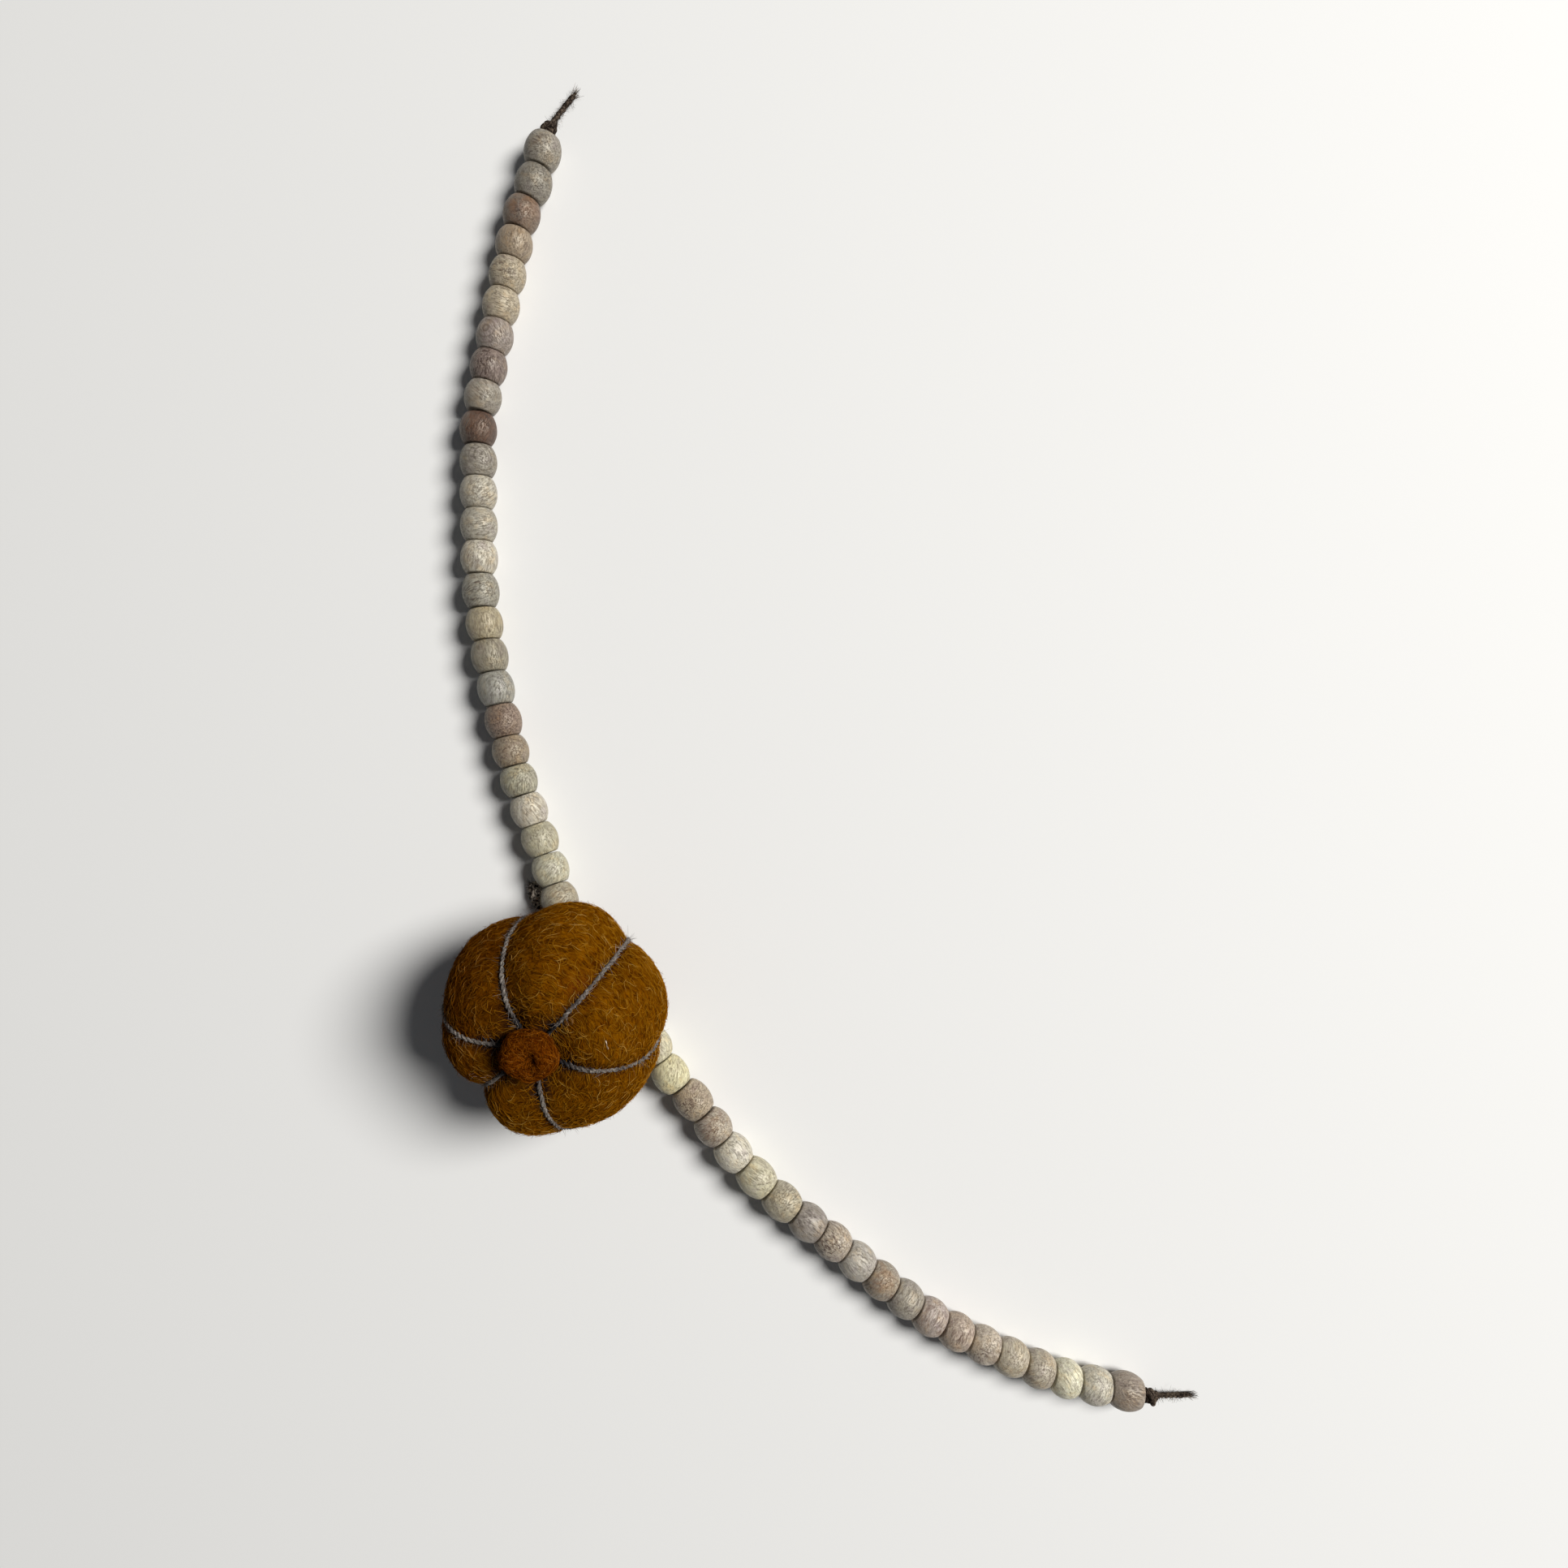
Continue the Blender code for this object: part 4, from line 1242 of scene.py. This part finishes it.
def looseFibres(dice, path, count, lengths, spread, radius, core):
    # short fibres that stand off a cord from a core of the given radius
    f = fibreMake
    at = dice.integers(2, len(path) - 2, count)
    direction = unit(path[at + 1] - path[at - 1])
    away = unit(np.cross(direction, unit(dice.normal(size=(count, 3)))))
    length = dice.uniform(*lengths, count)[:, None]
    share = np.linspace(0, 1, f["steps"])[None, :, None]
    start = path[at] + away * core
    lean = unit(direction * dice.normal(0, 1, (count, 1)) + away * spread)
    curl = unit(dice.normal(size=(count, 3)))[:, None]
    waves, kink = f["looseKink"]
    paths = start[:, None] + (lean[:, None] * share + curl * f["looseCurl"] * share ** 2) * length[:, None]
    paths = keepAbove(paths + curl * np.sin(share * waves) * kink, f["lowest"])
    return paths, np.tile(radius * (1 - f["looseTaper"] * share[..., 0]), (count, 1))


def makeYarn():
    y = yarn
    material = makeSpun("greyYarn")
    hairs = makeHair("yarnHairs")
    dice = np.random.default_rng(y["seed"])
    for number, (degrees, _, _) in enumerate(wraps, 1):
        path, length = wrapPath(degrees)
        side = carriedFrames(path[None])[0][0]
        size, width = y["sway"]
        path = path + side * (ripple(path, size, number) * width)[:, None]
        size, depth = y["dip"]
        path = path + unit(pumpkinCentre - path) * (ripple(path, size, number + 20) * depth)[:, None]
        path = keepAbove(path, y["radius"] + y["margin"])
        points, triangles = tubes(*twisted(path, length, y, number), y["sides"])
        piece = meshOf(f"yarnPlies{number}", points, triangles, material)
        # painted shade along the first lengths, under the stem's edge
        beyond = np.maximum(np.linalg.norm(points - path[0], axis=1) - y["shadeUntil"][number - 1], 0)
        setAttributes(piece, depth=np.exp(-beyond / y["shadeFade"]) * y["shadeStrength"])
        finishPiece(piece, "yarn", f"yarn_wrap_{number}")
        fuzz = looseFibres(dice, path, *y["fuzz"])
        makeFibres(f"yarnFuzz{number}", *fuzz, dice.uniform(0, 1, len(fuzz[0])), hairs, "yarn")
    print("yarn wraps made")


# twine through the beads, its end knots and its cut tails

twineRoute = (
    # end of the upper tail
    (1.5, 300.5, 1.2), (-2.5, 294.5, 2.3), (-4.8, 288.3, 5.3), (-5.7, 285.4, 5.65),
    # through the upper beads
    (-7.1, 280.4, 5.65), (-9.9, 270.6, 5.65), (-13.7, 260.7, 5.65), (-18.1, 242.1, 5.65),
    (-22.2, 222.2, 5.65), (-26.0, 202.8, 5.65), (-27.5, 193.3, 5.65), (-27.5, 183.1, 5.65),
    (-27.3, 162.7, 5.65), (-26.8, 142.3, 5.65), (-24.0, 121.6, 5.65), (-19.6, 100.7, 5.65),
    (-14.5, 81.3, 5.65), (-7.9, 63.1, 5.65), (-4.5, 53.7, 6.1), (-1.5, 44.6, 7.2),
    # through the pumpkin
    (3.6, 33.6, 9.5), (10.0, 19.0, 10.5), (21.1, 8.0, 8.8),
    # through the lower beads
    (27.6, -1.2, 6.2), (33.2, -10.6, 5.65), (40.4, -18.8, 5.65), (53.1, -35.4, 5.65),
    (68.2, -50.5, 5.65), (84.5, -63.2, 5.65), (99.6, -75.5, 5.65), (115.2, -86.9, 5.65),
    (132.0, -95.7, 5.65), (157.5, -106.1, 5.65), (176.4, -110.1, 5.65),
    # lower tail
    (181.3, -111.2, 5.65), (184.2, -111.8, 5.3), (190.5, -113.4, 2.3), (197.5, -113.9, 1.2),
)

twine = {
    "plies": 3,
    "ply": 0.46,
    "offset": 0.44,
    "pitch": 5.2,
    "sides": 6,
    "steps": 1300,
    "endBeads": ("bead_upper_25", "bead_lower_20"),
    "tailShare": 0.03,
    "fray": (130, (0.8, 2.4), 0.5, 0.045, 0.7),
    "brush": {"count": 60, "lean": 0.28, "spread": 0.35, "length": (1.0, 3.6), "radius": 0.06,
              "lowest": 0.12},
    "seed": 53,
}

# an end knot: one strand wound round the twine, and one laid over it
knotMake = {
    "fromBead": 2.6,
    "steps": 90,
    "turns": 3.2,
    "radius": 1.45,
    "length": 4.6,
    "slant": 0.15,
    "strand": 0.82,
    "sides": 10,
    "overLength": 0.9,
    "overSway": (5.0, 1.5),
    "overHeight": (0.4, 1.9),
}


def knotStrands(middle, along):
    k = knotMake
    side = unit(np.cross(along, upwards))
    up = np.cross(side, along)
    share = np.linspace(-0.5, 0.5, k["steps"])[:, None]
    turn = share * k["turns"] * fullTurn
    coil = (middle + along * share * k["length"] * (1 - k["slant"] * np.cos(turn))
            + (side * np.cos(turn) + up * np.sin(turn)) * k["radius"] * (1 - 0.5 * np.abs(share * 2) ** 6))
    waves, sway = k["overSway"]
    low, arch = k["overHeight"]
    over = (middle + along * share * k["length"] * k["overLength"] + side * np.sin(share * waves) * sway
            + up * (low + arch * np.cos(share * math.pi)))
    strands = keepAbove(np.stack([coil, over]), k["strand"])
    return tubes(strands, np.full(strands.shape[:2], k["strand"]), k["sides"])


def joined(parts):
    # one mesh of several, each given as its points and triangles
    starts = np.cumsum([0] + [len(points) for points, _ in parts])
    triangles = [faces + start for (_, faces), start in zip(parts, starts)]
    return np.concatenate([points for points, _ in parts]), np.concatenate(triangles)


def brushedEnd(dice, tip, direction):
    # fibres that spread from a cut end
    b = twine["brush"]
    count = b["count"]
    lean = unit(unit(direction) + dice.normal(0, b["lean"], (count, 3)))
    share = np.linspace(0, 1, fibreMake["steps"])[None, :, None]
    start = tip + dice.normal(0, b["spread"], (count, 3))
    paths = start[:, None] + lean[:, None] * share * dice.uniform(*b["length"], (count, 1, 1))
    return keepAbove(paths, b["lowest"]), np.tile(b["radius"] * (1 - 0.5 * share[..., 0]), (count, 1))


def makeTwine(hairs):
    t = twine
    path, length = smoothPath(twineRoute, t["steps"])
    parts = [tubes(*twisted(path, length, t, t["seed"]), t["sides"])]
    for name in t["endBeads"]:
        centre, axis, size = beadPlace(name)
        middle = centre + axis * (size / 2 + knotMake["fromBead"])
        nearest = int(np.argmin(np.linalg.norm(path - middle, axis=1)))
        parts.append(knotStrands(path[nearest], unit(path[nearest + 2] - path[nearest - 2])))
    piece = meshOf("twistedTwine", *joined(parts), makeSpun("darkTwine"))
    finishPiece(piece, "twine", "twine")
    dice = np.random.default_rng(t["seed"])
    tail = int(t["steps"] * t["tailShare"])
    frays = [looseFibres(dice, part, *t["fray"]) for part in (path[:tail], path[-tail:])]
    frays.append(brushedEnd(dice, path[0], path[0] - path[4]))
    frays.append(brushedEnd(dice, path[-1], path[-1] - path[-5]))
    paths, radii = (np.concatenate(values) for values in zip(*frays))
    makeFibres("twineFray", paths, radii, dice.uniform(0, 1, len(paths)), hairs, "twine")
    print("twine made, mm:", round(float(length)))


# dark knot of the tie beside the beads, on the surface

tie = {
    "plies": 3,
    "ply": 0.40,
    "offset": 0.38,
    "pitch": 4.2,
    "sides": 6,
    "steps": 90,
    "twistSeed": 3,
    "strand": ((1.6, 35.4, 7.6), (-2.2, 34.6, 5.6), (-6.0, 38.2, 3.6), (-8.4, 41.6, 2.6)),
    "lump": ((-8.6, 42.0, 2.5), (-9.6, 43.6, 2.4), (-10.4, 46.0, 2.4), (-10.6, 48.4, 2.4),
             (-10.5, 50.0, 2.3)),
    "lumpRadii": (1.3, 2.0, 2.3, 2.1, 1.0),
    "lumpSteps": 60,
    "layers": 4,
    "windings": (3.2, 0.7),  # turns of the first layer, and more for each next one
    "windingShift": 1.6,
    "windingReach": (0.72, 0.05),
    "windingUneven": (2.0, 0.2),
    "windingRadius": 0.62,
    "windingSides": 7,
    "windingLowest": 0.6,
    "coreShare": 0.8,
    "coreSides": 12,
    "coreLowest": 0.1,
    "fray": (420, (0.6, 2.2), 0.5, 0.05, 1.5),
    "seed": 61,
}


def tieWindings(spine, wide):
    # strands wound round the lump in layers
    side, up = carriedFrames(spine[None])
    at = np.linspace(0, 1, len(spine))
    first, more = tie["windings"]
    reach, less = tie["windingReach"]
    size, uneven = tie["windingUneven"]
    layers = []
    for layer in range(tie["layers"]):
        turn = at * fullTurn * (first + layer * more) + layer * tie["windingShift"]
        away = around(side[0], up[0], turn) * (wide * (reach - less * layer))[:, None]
        layers.append(spine + away + ripple(spine, size, layer)[:, None] * uneven)
    layers = keepAbove(np.array(layers), tie["windingLowest"])
    return tubes(layers, np.full(layers.shape[:2], tie["windingRadius"]), tie["windingSides"])


def makeTie(hairs):
    path, length = smoothPath(tie["strand"], tie["steps"])
    strand = tubes(*twisted(path, length, tie, tie["twistSeed"]), tie["sides"])
    spine = smoothPath(tie["lump"], tie["lumpSteps"])[0]
    at = np.linspace(0, 1, len(spine))
    wide = np.interp(at, np.linspace(0, 1, len(tie["lumpRadii"])), tie["lumpRadii"])
    core, coreFaces = tubes(spine[None], (wide * tie["coreShare"])[None], tie["coreSides"])
    core = keepAbove(core, tie["coreLowest"])
    points, triangles = joined([strand, tieWindings(spine, wide), (core, coreFaces)])
    finishPiece(meshOf("tieTwine", points, triangles, makeSpun("speckledTwine")), "twine", "tie_knot")
    dice = np.random.default_rng(tie["seed"])
    fray = looseFibres(dice, spine, *tie["fray"])
    makeFibres("tieFray", *fray, dice.uniform(0, 1, len(fray[0])), hairs, "twine")
    print("tie made")


# everything in order

makeCamera()
makeStage()
makeBeads()
pumpkinSkin = makePumpkin()
makePumpkinFibres()
makeStrays(pumpkinSkin)
makeStem()
makeYarn()
twineHairs = makeHair("twineHairs")
makeTwine(twineHairs)
makeTie(twineHairs)
